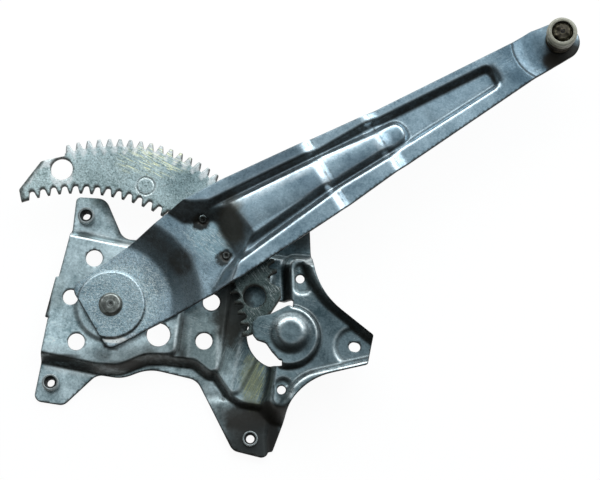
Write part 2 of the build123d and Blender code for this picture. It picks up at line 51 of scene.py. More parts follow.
view = {
    "elevation": math.radians(78), "distance": 1200 * mm, "target": Vector((112.93, 38.9, 19)) * mm,
    "lens": 120, "sensor": 36, "farthest": 10,
}

studio = {
    "floorHalf": 6.0, "floorLevel": -0.2 * mm, "floorColor": (0.93, 0.93, 0.93, 1),
    "floorWhite": 1.04,                       # what the camera sees of the floor
    "floorShare": 0.90,                       # of that white, against the floor's shaded colour
    "skyUp": Vector((0.33, 0.66, 0.67)),      # the sky is brightest this way
    "skyDark": 0.20, "skyBright": 1.0,
    "skyLow": (0.030, 0.026, 0.021, 1), "skyHigh": (0.88, 0.96, 1.0, 1), "skyStrength": 0.95,
}

# each one's place, size, power and color
softboxes = {
    "backSoftbox": ((0.05, 1.30, 0.80), (2.4, 1.0), 17.0, (0.96, 0.99, 1.0)),
    "leftSoftbox": ((-1.15, -0.35, 0.50), (1.6, 0.6), 1.3, (0.85, 0.97, 1.0)),
    "rightSoftbox": ((0.78, 0.72, 1.10), (0.5, 0.5), 2.0, (1.0, 1.0, 1.0)),
}


class Wire:
    # a node's output: arithmetic adds math nodes, and [name] is another output of the same node
    def __init__(self, socket):
        self.socket = socket
        self.tree = socket.id_data

    def __getitem__(self, key):
        return Wire(self.socket.node.outputs[key])

    def math(self, operation, *others, reverse=False, clamp=False):
        inputs = dict(enumerate((*others, self) if reverse else (self, *others)))
        return addNode(self.tree, "ShaderNodeMath", inputs, operation=operation, use_clamp=clamp)

    def __add__(self, other):
        return self.math("ADD", other)

    def __sub__(self, other):
        return self.math("SUBTRACT", other)

    def __rsub__(self, other):
        return self.math("SUBTRACT", other, reverse=True)

    def __mul__(self, other):
        return self.math("MULTIPLY", other)

    def __truediv__(self, other):
        return self.math("DIVIDE", other)

    def __rtruediv__(self, other):
        return self.math("DIVIDE", other, reverse=True)


def addNode(tree, kind, inputs=None, **settings):
    made = tree.nodes.new(kind)
    for name, value in settings.items():
        setattr(made, name, value)
    for key, value in (inputs or {}).items():
        if isinstance(value, Wire):
            tree.links.new(value.socket, made.inputs[key])
        else:
            made.inputs[key].default_value = value
    return Wire(made.outputs[0]) if made.outputs else made


def emptyTree(owner):
    owner.use_nodes = True
    owner.node_tree.nodes.clear()
    return owner.node_tree


def opaque(color):
    return (*color, 1)


def vectorMath(operation, first, second=None, scale=None):
    inputs = {0: first, 1: second, "Scale": scale}
    given = {key: value for key, value in inputs.items() if value is not None}
    return addNode(first.tree, "ShaderNodeVectorMath", given, operation=operation)


def combined(x, y, z=0.0):
    return addNode(x.tree, "ShaderNodeCombineXYZ", {0: x, 1: y, 2: z})


def pointsInMm(tree):
    return vectorMath("SCALE", addNode(tree, "ShaderNodeTexCoord")["Object"], scale=1 / mm)


def scaledBy(vector, size):
    return vectorMath("SCALE", vector, scale=1.0 / size)


def smoothStep(value, low, high, fromLow=0.0, toHigh=1.0):
    span = {"Value": value, "From Min": low, "From Max": high, "To Min": fromLow, "To Max": toHigh}
    return addNode(value.tree, "ShaderNodeMapRange", span, interpolation_type="SMOOTHSTEP")


def noiseValue(vector, detail, rough, distort=0.0):
    return addNode(vector.tree, "ShaderNodeTexNoise", {
        "Vector": vector, "Scale": 1.0, "Detail": detail, "Roughness": rough, "Distortion": distort})["Fac"]


def mixColor(share, first, second, blend="MIX"):
    inputs = {0: share, 6: first, 7: second}
    return addNode(share.tree, "ShaderNodeMix", inputs, data_type="RGBA", blend_type=blend)[2]


def mixValue(share, first, second):
    return addNode(share.tree, "ShaderNodeMix", {0: share, 2: first, 3: second})


def addObject(name, data):
    made = bpy.data.objects.new(name, data)
    bpy.context.scene.collection.objects.link(made)
    return made


def makeCamera():
    data = bpy.data.cameras.new("camera")
    data.lens = view["lens"]
    data.sensor_width = view["sensor"]
    data.clip_end = view["farthest"]
    camera = addObject("camera", data)
    back = Vector((0, -math.cos(view["elevation"]), math.sin(view["elevation"])))
    camera.location = view["target"] + back * view["distance"]
    camera.rotation_euler = (-back).to_track_quat("-Z", "Y").to_euler()
    bpy.context.scene.camera = camera


def makeLights():
    for name, (place, size, power, color) in softboxes.items():
        data = bpy.data.lights.new(name, "AREA")
        data.shape = "RECTANGLE"
        data.size, data.size_y = size
        data.energy = power
        data.color = color
        light = addObject(name, data)
        light.location = place
        light.rotation_euler = (view["target"] - light.location).to_track_quat("-Z", "Y").to_euler()

    world = bpy.data.worlds.new("studioWorld")
    bpy.context.scene.world = world
    tree = emptyTree(world)
    along = addNode(tree, "ShaderNodeTexCoord")["Generated"]
    upward = vectorMath("DOT_PRODUCT", along, studio["skyUp"])["Value"]
    height = smoothStep(upward, studio["skyDark"], studio["skyBright"])
    sky = mixColor(height, studio["skyLow"], studio["skyHigh"])
    glow = addNode(tree, "ShaderNodeBackground", {"Color": sky, "Strength": studio["skyStrength"]})
    addNode(tree, "ShaderNodeOutputWorld", {"Surface": glow})


def makeFloor():
    side, low = studio["floorHalf"], studio["floorLevel"]
    mesh = bpy.data.meshes.new("floor")
    mesh.from_pydata([(-side, -side, low), (side, -side, low), (side, side, low), (-side, side, low)],
                     [], [(0, 1, 2, 3)])
    paint = bpy.data.materials.new("floorPaint")
    tree = emptyTree(paint)
    path = addNode(tree, "ShaderNodeLightPath")
    seen = path["Is Camera Ray"]
    for kind in ("Is Glossy Ray", "Is Transmission Ray"):
        seen = seen.math("MAXIMUM", path[kind])
    shaded = addNode(tree, "ShaderNodeBsdfDiffuse", {"Color": studio["floorColor"]})
    white = addNode(tree, "ShaderNodeEmission", {"Strength": studio["floorWhite"]})
    mix = addNode(tree, "ShaderNodeMixShader", {0: seen * studio["floorShare"], 1: shaded, 2: white})
    addNode(tree, "ShaderNodeOutputMaterial", {"Surface": mix})
    mesh.materials.append(paint)
    addObject("floor", mesh)


makeCamera()
makeLights()
makeFloor()
print("camera and studio ready")


# each surface effect is one node group, with its own values in every material

def newGroup(name, inputs):
    group = bpy.data.node_groups.new(name, "ShaderNodeTree")
    for key, value in inputs.items():
        kind = "Vector" if isinstance(value, Vector) else "Color" if isinstance(value, tuple) else "Float"
        socket = group.interface.new_socket(key, in_out="INPUT", socket_type="NodeSocket" + kind)
        socket.default_value = value
    return group, addNode(group, "NodeGroupInput")


def closedGroup(group, **outputs):
    for key, wire in outputs.items():
        kind = "Color" if wire.socket.type == "RGBA" else "Float"
        group.interface.new_socket(key, in_out="OUTPUT", socket_type="NodeSocket" + kind)
    addNode(group, "NodeGroupOutput", outputs)
    return group


def placeGroup(tree, group, **inputs):
    return addNode(tree, "ShaderNodeGroup", inputs, node_tree=group)


def makeMottle():
    # clouds, patches and a grain of lighter and darker zinc, crossed by thin dark veins
    group, given = newGroup("zincMottle", {
        "dark": (0.3, 0.3, 0.3, 1), "light": (0.6, 0.6, 0.6, 1), "cloudSize": 12.0, "patchSize": 2.5,
        "grainSize": 0.5, "cloudGain": 1.0, "patchGain": 1.0, "grainGain": 1.0, "veinGain": 0.0})
    place = pointsInMm(group)
    value, height = 0.5, 0.0
    layers = ("cloud", 2, 0.4, 0.0), ("patch", 4, 0.8, 0.6), ("grain", 2, 0.0, 1.0)
    for layer, detail, distort, share in layers:
        level = noiseValue(scaledBy(place, given[layer + "Size"]), detail, 0.6, distort) - 0.5
        value = level * given[layer + "Gain"] + value
        height = level * share + height
    winding = noiseValue(scaledBy(place, given["patchSize"] * 1.9), 3, 0.5, 1.2)
    vein = smoothStep((winding - 0.5).math("ABSOLUTE"), 0.0, 0.035, 1.0, 0.0)
    value = value.math("SUBTRACT", vein * given["veinGain"], clamp=True)
    color = mixColor(value, given["dark"], given["light"])
    return closedGroup(group, color=color, value=value, height=height)


def makeScratches():
    # long thin lines in one direction, in patches
    group, given = newGroup("scratchLines", {
        "turn": 0.0, "length": 30.0, "spacing": 1.5, "width": 0.02, "cover": 0.5, "seed": 0.0})
    turned = addNode(group, "ShaderNodeVectorRotate", {"Vector": pointsInMm(group), "Angle": given["turn"]},
                     rotation_type="Z_AXIS")
    stretched = vectorMath("DIVIDE", turned, combined(given["length"], given["spacing"], given["length"]))
    moved = vectorMath("ADD", stretched, combined(given["seed"], given["seed"], given["seed"]))
    thin = smoothStep((noiseValue(moved, 2, 0.6) - 0.5).math("ABSOLUTE"), 0.0, given["width"], 1.0, 0.0)
    patch = noiseValue(vectorMath("SCALE", turned, scale=0.07), 3, 0.6)
    level = 1.0 - given["cover"]
    return closedGroup(group, mask=thin * smoothStep(patch, level - 0.08, level + 0.08))


def makeWearGrimeAndPaintedLight():
    # rubbed ridges and dirty corners, with painted highlights and painted shade, from the piece's own wear and
    # grime attributes
    group, given = newGroup("wearGrimeAndPaintedLight", {"wearAmount": 0.8, "grimeAmount": 0.8, "breakSize": 3.0})
    broken = noiseValue(scaledBy(pointsInMm(group), given["breakSize"]), 4, 0.65)
    ragged = smoothStep(broken, 0.32, 0.62)
    marks = {}
    for name, floor in (("wear", 0.35), ("grime", 0.85)):
        base = addNode(group, "ShaderNodeAttribute", attribute_name=name)["Fac"]
        share = addNode(group, "ShaderNodeMapRange", {"Value": ragged, "To Min": floor})
        marks[name] = base * share * given[name + "Amount"]
    return closedGroup(group, **marks)


def makeSoftPatch():
    # a soft-edged patch round a place, broken up by smears; it lays grease, tints, painted shadows and painted
    # highlights
    group, given = newGroup("softPatch", {
        "center": Vector((0, 0, 0)), "stretch": Vector((1, 1, 1)), "radius": 20.0, "softness": 0.5,
        "ragged": 0.5, "smear": 8.0, "amount": 1.0})
    place = pointsInMm(group)
    away = vectorMath("DIVIDE", vectorMath("SUBTRACT", place, given["center"]), given["stretch"])
    reach = vectorMath("LENGTH", away)["Value"] / given["radius"]
    smear = noiseValue(scaledBy(place, given["smear"]), 4, 0.6, 0.5) - 0.5
    mask = smoothStep(reach + smear * given["ragged"], 1.0 - given["softness"], 1.0, 1.0, 0.0)
    return closedGroup(group, mask=mask.math("MULTIPLY", given["amount"], clamp=True))


zincMottle = makeMottle()
scratchLines = makeScratches()
wearGrimeAndPaintedLight = makeWearGrimeAndPaintedLight()
softPatch = makeSoftPatch()
print("shader groups ready")

# a tint darkens or lightens what is there, and a coat covers it; places and sizes are in mm
patchColumns = ("center", "radius", "softness", "ragged", "smear", "amount", "color", "stretch", "roughness")
scratchColumns = ("turn", "length", "spacing", "width", "cover", "seed", "amount", "color", "depth",
                  "center", "radius", "stretch")
coatMetallic = 0.6
shadeAndGrimeDulling = -0.45      # what full painted shade and grime adds to a surface's share of metal
shadeAndGrimeRoughness = 0.15     # and to its roughness


def layPatches(color, shine, metal, rows, blend):
    for row in rows:
        patch = dict(zip(patchColumns, row))
        tone, roughness = opaque(patch.pop("color")), patch.pop("roughness", None)
        mask = placeGroup(color.tree, softPatch, **patch)
        color = mixColor(mask, color, tone, blend)
        if roughness:
            shine = mixValue(mask, shine, roughness)
        if blend == "MIX":
            metal = mixValue(mask, metal, coatMetallic)
    return color, shine, metal


def scratchMask(tree, lines):
    size = {key: lines[key] for key in ("length", "spacing", "width", "cover", "seed")}
    mask = placeGroup(tree, scratchLines, turn=math.radians(lines["turn"]), **size)
    if "center" not in lines:
        return mask
    zone = {key: lines[key] for key in ("center", "radius", "stretch") if key in lines}
    return mask * placeGroup(tree, softPatch, softness=0.5, ragged=0.6, **zone)


def metalFinish(name, finish):
    made = bpy.data.materials.new(name)
    made.use_nodes = True
    tree = made.node_tree
    layers = {tone: opaque(finish[tone]) for tone in ("dark", "light")}
    layers["veinGain"] = finish.get("veins", 0.0)
    for layer, size, gain in zip(("cloud", "patch", "grain"), finish["sizes"], finish["gains"]):
        layers |= {layer + "Size": size, layer + "Gain": gain}
    mottle = placeGroup(tree, zincMottle, **layers)
    edges = placeGroup(tree, wearGrimeAndPaintedLight, wearAmount=finish["wear"], grimeAmount=finish["grime"])
    color, height = mottle["color"], mottle["height"] * finish["grainHeight"]
    smooth, rough = finish["roughness"]
    shine = addNode(tree, "ShaderNodeMapRange", {"Value": mottle["value"], "To Min": rough, "To Max": smooth})
    metal = addNode(tree, "ShaderNodeValue")
    metal.socket.default_value = finish["metallic"]
    color, shine, metal = layPatches(color, shine, metal, finish.get("tints", ()), "MULTIPLY")
    color = mixColor(edges["wear"], color, opaque(finish["wearColor"]))
    for row in finish.get("scratches", ()):
        lines = dict(zip(scratchColumns, row))
        mask = scratchMask(tree, lines)
        color = mixColor(mask * lines["amount"], color, opaque(lines["color"]))
        height = height - mask * lines["depth"]
    color, shine, metal = layPatches(color, shine, metal, finish.get("coats", ()), "MIX")
    grime = edges["grime"]
    bump = addNode(tree, "ShaderNodeBump", {"Height": height, "Strength": 1.0, "Distance": mm})
    surface = {
        "Base Color": mixColor(grime, color, opaque(finish["grimeColor"])), "Normal": bump,
        "Metallic": metal * grime.math("MULTIPLY_ADD", shadeAndGrimeDulling, 1.0),
        "Roughness": shine + grime * shadeAndGrimeRoughness}
    for key, wire in surface.items():
        tree.links.new(wire.socket, tree.nodes["Principled BSDF"].inputs[key])
    return made


armZinc = {
    "dark": (0.118, 0.186, 0.232), "light": (0.42, 0.545, 0.62), "metallic": 1,
    "sizes": (26, 4, 1.3), "gains": (1.4, 0.9, 0.9), "veins": 0.06,
    "roughness": (0.24, 0.38), "grainHeight": 0.045,
    "wear": 0.75, "wearColor": (0.78, 0.87, 0.92), "grime": 0.92, "grimeColor": (0.022, 0.019, 0.014),
    "tints": [
        ((2, 0, 17), 29, 0.25, 0.4, 12, 0.8, (1.35, 1.36, 1.3)),
        ((30, 20, 20), 16, 0.6, 0.8, 7, 0.6, (0.5, 0.52, 0.52), (1, 1.3, 1)),
        ((62, 42, 23), 19, 0.4, 0.5, 8, 0.7, (1.35, 1.42, 1.36)),
        ((93, 84, 33), 17, 0.7, 0.6, 9, 0.75, (0.42, 0.46, 0.5), (2.2, 1.2, 1)),
        ((128, 70, 33), 14, 0.8, 0.5, 9, 0.55, (0.55, 0.6, 0.66), (2, 1, 1)),
        ((168, 96, 31), 12, 0.8, 0.5, 7, 0.6, (0.42, 0.48, 0.54)),
        # painted shade on the lower half of the rib
        ((146, 84, 32), 9, 0.7, 0.4, 8, 0.7, (0.5, 0.54, 0.58), (1.5, 1, 1)),
        ((196, 134, 29), 15, 0.7, 0.6, 9, 0.6, (0.6, 0.63, 0.66), (2.6, 1.5, 1)),
        ((252, 150, 28), 27, 0.6, 0.6, 10, 0.85, (0.38, 0.44, 0.48), (1.4, 1.2, 1)),
        # painted shade that tones down the highlight on the tip's step
        ((246, 135, 28), 11, 0.8, 0.4, 8, 0.8, (0.5, 0.55, 0.58), (1.2, 1, 1)),
    ],
    "coats": [
        ((73, 49, 27), 15, 0.45, 0.4, 6, 0.88, (0.07, 0.065, 0.046), (0.85, 1.35, 0.9), 0.45),
        ((53.4, 49, 23), 6.4, 0.35, 0.7, 2.2, 0.97, (0.012, 0.013, 0.011)),
        ((66.8, 26.6, 23), 5.4, 0.35, 0.8, 1.8, 0.93, (0.022, 0.026, 0.024)),
        # painted shadow of the roller on the arm
        ((275, 151, 28), 14.5, 0.5, 0.4, 5, 0.97, (0.014, 0.011, 0.007), (1.25, 1, 1), 0.5),
        ((265, 147.5, 28), 7, 0.6, 0.5, 4, 0.93, (0.014, 0.011, 0.007), (1, 1, 1), 0.5),
        # painted highlight: a white glint below the hub
        ((3, -21.2, 16), 3.2, 0.4, 0.3, 3, 0.95, (0.93, 0.95, 0.93), (2.8, 0.8, 1)),
    ],
    "scratches": [
        (-31, 30, 0.9, 0.022, 0.44, 3, 0.25, (0.7, 0.8, 0.84), 0.01),
        (38, 14, 0.9, 0.03, 0.62, 8, 0.75, (0.86, 0.92, 0.9), 0.015, (59, 40, 22), 20),
        (75, 9, 1.2, 0.026, 0.52, 12, 0.6, (0.9, 0.92, 0.86), 0.01, (14, 12, 16), 24),
        (10, 2.6, 1.2, 0.05, 0.8, 17, 0.75, (0.84, 0.92, 0.92), 0.02, (6, 4, 16), 36),
        (50, 2.2, 1.3, 0.05, 0.75, 21, 0.65, (0.1, 0.13, 0.14), 0.02, (20, 14, 18), 60),
    ],
}

plateZinc = {
    "dark": (0.2, 0.285, 0.31), "light": (0.8, 0.945, 0.985), "metallic": 1,
    "sizes": (22, 4.2, 1.3), "gains": (1.9, 0.9, 1), "veins": 0.08,
    "roughness": (0.24, 0.42), "grainHeight": 0.05,
    "wear": 0.8, "wearColor": (0.85, 0.92, 0.93), "grime": 0.95, "grimeColor": (0.015, 0.0135, 0.01),
    "tints": [
        ((-31, -22, 11), 22, 0.7, 0.7, 9, 0.8, (1.45, 1.45, 1.45), (1, 1.2, 2)),
        ((130, -22, 20), 38, 0.5, 0.5, 12, 0.8, (0.72, 0.72, 0.74)),
        ((120, -14, 16), 62, 0.35, 0.5, 14, 0.92, (0.275, 0.315, 0.33), (1, 1.25, 2)),
        ((58, -22, 11), 31, 0.6, 0.9, 9, 0.85, (0.27, 0.29, 0.28), (1.1, 1, 2), 0.36),
        ((20, -33, 9), 10, 0.7, 0.7, 6, 0.7, (0.3, 0.3, 0.28), (2.6, 1, 1.5)),
        ((-32, 8, 11), 14, 0.7, 0.9, 8, 0.35, (0.5, 0.5, 0.46), (0.6, 1, 2)),
        ((-8, 67, 6), 10, 0.7, 0.8, 5, 0.88, (0.3, 0.3, 0.28), (1.3, 1, 1)),
    ],
    "coats": [
        ((-27, -30.8, 8), 3.2, 0.5, 0.3, 5, 0.8, (0.006, 0.006, 0.005), (4.5, 0.9, 3), 0.5),
        ((10, -35, 7), 3.4, 0.5, 0.3, 5, 0.8, (0.006, 0.006, 0.005), (6, 1, 3), 0.5),
        ((-38.5, 6.5, 9), 11, 0.4, 0.3, 4, 0.9, (0.022, 0.018, 0.014), (0.25, 1.3, 1)),
        ((86, -84, 3), 27, 0.3, 0.4, 7, 0.7, (0.016, 0.018, 0.017)),
        # painted shadow under the sector's teeth, with grime
        ((72, -2, 10), 23, 0.5, 0.7, 5, 0.9, (0.026, 0.024, 0.018), (0.65, 1.3, 2), 0.42),
        ((114, 46, 10), 14, 0.6, 0.7, 5, 0.8, (0.032, 0.032, 0.027), (1.2, 1, 2), 0.42),
        # painted shade on the wall down to the bottom leg
        ((82, -66, 6), 16, 0.5, 0.5, 7, 0.9, (0.024, 0.019, 0.014), (1.5, 0.75, 2), 0.4),
        ((84, -84, 3), 22, 0.6, 0.6, 8, 0.94, (0.026, 0.029, 0.028), (1.1, 0.9, 2), 0.38),
        ((97, -80, 3), 11, 0.4, 0.3, 5, 0.95, (0.012, 0.012, 0.011), (0.42, 1.5, 2)),
        # painted shade on the motor zone's lower slope
        ((98, -62, 8), 9, 0.6, 0.5, 5, 0.9, (0.02, 0.016, 0.012), (1.2, 0.8, 2)),
        ((84, -45, 8), 20, 0.6, 0.9, 3, 0.5, (0.23, 0.245, 0.135), (0.42, 1, 1.5)),
    ],
    "scratches": [
        (-62, 26, 0.9, 0.04, 0.72, 1, 0.8, (0.52, 0.54, 0.26), 0.02, (86, -44, 8), 22, (0.5, 1, 2)),
        (-68, 22, 1.3, 0.035, 0.56, 7, 0.4, (0.62, 0.72, 0.72), 0.02, (70, -36, 8), 24, (0.6, 1, 2)),
        (20, 16, 1.2, 0.018, 0.44, 5, 0.4, (0.9, 0.96, 0.96), 0.012),
    ],
}

sectorZinc = {
    "dark": (0.19, 0.255, 0.258), "light": (0.68, 0.83, 0.85), "metallic": 1,
    "sizes": (24, 2.6, 1.1), "gains": (1.2, 1, 1.5), "veins": 0.42,
    "roughness": (0.26, 0.46), "grainHeight": 0.08,
    "wear": 0.75, "wearColor": (1, 1, 1), "grime": 0.9, "grimeColor": (0.03, 0.027, 0.02),
    "tints": [
        # painted highlight: the left part lighter where it catches the light
        ((-40, 78, 19), 30, 0.7, 0.4, 9, 0.8, (1.45, 1.4, 1.38), (1, 1, 2)),
        ((45, 76, 19), 21, 0.7, 0.7, 6, 0.75, (0.46, 0.52, 0.54), (1.1, 1, 2), 0.38),
        ((92, 4, 19), 36, 0.35, 0.4, 6, 0.93, (0.13, 0.145, 0.135), (1, 1.1, 2), 0.38),
    ],
    "coats": [
        ((54.4, 50.2, 23), 4.2, 0.3, 0.5, 1.6, 0.97, (0.01, 0.011, 0.009)),
        ((68.8, 28.5, 23), 3.4, 0.3, 0.9, 1.4, 0.9, (0.03, 0.028, 0.024)),
    ],
    "scratches": [
        (27, 30, 1.1, 0.04, 0.74, 2, 1, (1, 1, 0.62), 0.03, (26, 88, 19), 28, (1, 0.5, 2)),
        (55, 16, 1.1, 0.022, 0.5, 9, 0.5, (0.9, 0.97, 0.97), 0.012),
    ],
}

nutZinc = {
    "dark": (0.075, 0.09, 0.092), "light": (0.36, 0.4, 0.4), "metallic": 1,
    "sizes": (9, 2, 0.8), "gains": (1.5, 1.5, 1.5),
    "roughness": (0.24, 0.42), "grainHeight": 0.03,
    "wear": 0.55, "wearColor": (0.62, 0.67, 0.68), "grime": 0.95, "grimeColor": (0.01, 0.01, 0.009),
}

pinSteel = {
    "dark": (0.034, 0.037, 0.033), "light": (0.165, 0.175, 0.158), "metallic": 1,
    "sizes": (6, 2, 0.8), "gains": (1.6, 1.8, 1.8),
    "roughness": (0.28, 0.48), "grainHeight": 0.05,
    "wear": 0.5, "wearColor": (0.62, 0.66, 0.64), "grime": 0.9, "grimeColor": (0.014, 0.013, 0.011),
    "coats": [
        ((0, 0, 20), 2.8, 0.7, 0.5, 2, 0.75, (0.011, 0.016, 0.017)),
    ],
}

studSteel = {
    "dark": (0.003, 0.0025, 0.002), "light": (0.024, 0.016, 0.01), "metallic": 0.6,
    "sizes": (5, 1.9, 0.8), "gains": (1.8, 2.2, 1.8),
    "roughness": (0.34, 0.56), "grainHeight": 0.08,
    "wear": 0.35, "wearColor": (0.2, 0.18, 0.11), "grime": 0.95, "grimeColor": (0.006, 0.005, 0.004),
    "coats": [
        ((267, 156, 42), 3.2, 0.5, 0.8, 1.5, 0.9, (0.004, 0.004, 0.004), (0.7, 1.2, 2)),
        ((272.5, 154, 42), 3, 0.7, 0.9, 1.5, 0.6, (0.072, 0.065, 0.031), (1.3, 0.8, 2)),
        ((269.5, 158.5, 42), 2.4, 0.7, 0.9, 1.2, 0.5, (0.05, 0.024, 0.04), (1, 1, 2)),
    ],
}

# the sheared edges' own dull steel, made darker as painted shade on the thin walls
shearedEdge = {
    "dark": (0.012, 0.011, 0.01), "light": (0.075, 0.076, 0.072), "metallic": 0.6,
    "sizes": (6, 1.2, 0.6), "gains": (1.4, 1.8, 1.6),
    "roughness": (0.42, 0.62), "grainHeight": 0.04,
    "wear": 0, "wearColor": (0.4, 0.4, 0.4), "grime": 0, "grimeColor": (0.02, 0.02, 0.02),
}

creamNylon = {
    "dark": (0.13, 0.122, 0.082), "light": (0.37, 0.362, 0.28), "metallic": 0,
    "sizes": (8, 2.6, 0.9), "gains": (1.4, 1.4, 1),
    "roughness": (0.36, 0.55), "grainHeight": 0.02,
    "wear": 0.35, "wearColor": (0.8, 0.79, 0.7), "grime": 0.8, "grimeColor": (0.05, 0.038, 0.02),
    "coats": [
        # painted shade on the roller's lower side
        ((267.5, 151.5, 33.5), 10, 0.45, 0.6, 4, 0.95, (0.02, 0.015, 0.009), (1.1, 0.9, 1)),
        ((261, 151.5, 41), 5.5, 0.6, 0.6, 3, 0.85, (0.05, 0.045, 0.028), (0.8, 1, 1.6)),
        ((265, 147, 37), 6.5, 0.6, 0.5, 3, 0.8, (0.07, 0.06, 0.038), (1.3, 0.8, 1)),
    ],
}
spacerSteel = dict(nutZinc, dark=(0.20, 0.23, 0.23), light=(0.50, 0.54, 0.54), sizes=(12.0, 2.0, 0.8))

finishes = {name: metalFinish(name, finish) for name, finish in {
    "armZinc": armZinc, "plateZinc": plateZinc, "sectorZinc": sectorZinc, "nutZinc": nutZinc,
    "pinSteel": pinSteel, "studSteel": studSteel, "spacerSteel": spacerSteel,
    "shearedEdge": shearedEdge, "creamNylon": creamNylon}.items()}
print("finishes ready")


def addMarks(mesh, wear, grime):
    for name, values in (("wear", wear), ("grime", grime)):
        mark = mesh.attributes.new(name, "FLOAT", "POINT")
        mark.data.foreach_set("value", np.asarray(values, dtype=np.float32))


def smoothShaded(mesh, sharpest):
    mesh.polygons.foreach_set("use_smooth", [True] * len(mesh.polygons))
    mesh.set_sharp_from_angle(angle=math.radians(sharpest))


def placePiece(piece, body, slot, *replaced):
    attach(piece, body)
    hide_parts(*replaced)
    print(piece.name, len(piece.data.polygons), "faces")


# pin, spacer, stud and roller are turned; their sizes are in mm, and the box of each comes from the CAD

pivotPin = {
    "name": "rivetedPivotPin", "node": "pivot_pin", "body": "base", "slot": "pin", "finish": "pinSteel",
    "headRound": 1.5, "headSpread": 0.5, "dimpleRadius": 1.1, "dimpleDepth": 0.30,
    "hammered": 0.30, "hammerSize": 3.4,
    "shoulder": 5.0, "tail": 4.0, "rivet": 6.5, "rivetDepth": 2.0, "headDepth": 2.7, "padLevel": 13.2,
}

pivotSpacer = {
    "name": "pivotSpacer", "node": "pivot_spacer", "body": "base", "slot": "spacer", "finish": "spacerSteel",
    "bore": 5.05,
}

rollerStud = {
    "name": "peenedRollerStud", "node": "roller_stud", "body": "arm", "slot": "stud", "finish": "studSteel",
    "hammered": 0.60, "hammerSize": 2.0,
    "rivet": 6.0, "rivetDepth": 1.6, "tail": 4.0, "sheet": 2.0, "collarDepth": 4.5,
    "lip": 6.7, "shoulder": 5.5, "head": 4.3, "headDepth": 3.1,
}

nylonRoller = {
    "name": "nylonRoller", "node": "roller", "body": "roller", "slot": "roller", "finish": "creamNylon",
    "lipRound": 0.7, "partingRib": 0.12,
    "foot": 8.1, "barrel": 7.5, "bore": 5.55, "lip": 7.5, "mouth": 6.5, "rimWidth": 6.5, "partingDepth": 3.6,
}

segmentsRound = 96
arcSteps = (0.0, 0.25, 0.5, 0.75, 1.0)
arcEndMark = 0.35         # wear on a ridge and grime in a corner, where a rounding starts and ends, against 1 along it
hammerFade = 0.8          # mm over which the tool's marks set in


def roundedProfile(corners):
    # (radius, height, rounding) corners, from the axis at the back round to the axis at the front
    points, turns = [], []
    for k, (r, z, soften) in enumerate(corners):
        here = np.array((r, z))
        before = np.array(corners[k - 1][:2]) - here
        after = np.array(corners[(k + 1) % len(corners)][:2]) - here
        lengths = np.linalg.norm(before), np.linalg.norm(after)
        if soften == 0 or min(lengths) < tiny:
            points.append(here)
            turns.append(0.0)
            continue
        soften = min(soften, 0.45 * lengths[0], 0.45 * lengths[1])
        start, end = here + before / lengths[0] * soften, here + after / lengths[1] * soften
        side = -np.sign(before[0] * after[1] - before[1] * after[0])
        for t in arcSteps:
            points.append((1 - t) ** 2 * start + 2 * t * (1 - t) * here + t ** 2 * end)
            turns.append(side * (arcEndMark if t in (0.0, 1.0) else 1.0))
    return np.array(points), np.array(turns)


def turnedMesh(name, corners, place, closed=False, shape=None):
    # the profile turned about an upright axis; shape moves a point in mm about that axis
    profile, turns = roundedProfile(corners)
    angles = np.linspace(0, 2 * math.pi, segmentsRound, endpoint=False)
    verts, rings, wear, grime = [], [], [], []
    for (r, z), turn in zip(profile, turns):
        onAxis = r < tiny
        base = len(verts)
        rings.append([base] * segmentsRound if onAxis else range(base, base + segmentsRound))
        for angle in angles[:1] if onAxis else angles:
            point = Vector((r * math.cos(angle), r * math.sin(angle), z))
            point = shape(point) if shape else point
            verts.append((point + Vector((*place, 0))) * mm)
            wear.append(max(turn, 0))
            grime.append(max(-turn, 0))
    faces = []
    for low, high in list(zip(rings, rings[1:])) + ([(rings[-1], rings[0])] if closed else []):
        for k in range(segmentsRound):
            m = (k + 1) % segmentsRound
            corner = tuple(dict.fromkeys((low[k], low[m], high[m], high[k])))
            if len(corner) > 2:
                faces.append(corner)
    mesh = bpy.data.meshes.new(name)
    mesh.from_pydata(verts, [], faces)
    smoothShaded(mesh, 40)
    addMarks(mesh, wear, grime)
    return mesh


def turnedPiece(piece, corners, place, **more):
    mesh = turnedMesh(piece["name"], corners, place, **more)
    mesh.materials.append(finishes[piece["finish"]])
    placePiece(addObject(piece["name"], mesh), piece["body"], piece["slot"], piece["node"])


def hammeredHead(piece, floor, place):
    # small flats and dents that a riveting tool leaves above the floor height
    def shape(point):
        if point.z < floor:
            return point
        spot = Vector((point.x + place[0], point.y + place[1], point.z)) / piece["hammerSize"]
        dent = noise.noise(spot) * piece["hammered"] * min(1.0, (point.z - floor) / hammerFade)
        outward = Vector((point.x, point.y, 0))
        outward = outward.normalized() if outward.length > tiny else outward
        return point + Vector((0, 0, dent)) + outward * dent * 0.7
    return shape


def rivetedTail(rivet, tail, low, back):
    return [(0, low, 0), (rivet - 1.6, low, 1.0), (rivet, low + 1.4, 0.5), (rivet, back, 0.1), (tail, back, 0.1)]


def sizesOf(piece, *keys):
    return [piece[key] for key in keys]


def cadSizes(node):
    low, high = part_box(node)
    middle = (low + high) / 2 / mm
    return (middle.x, middle.y), (high.x - low.x) / mm / 2, low.z / mm, high.z / mm


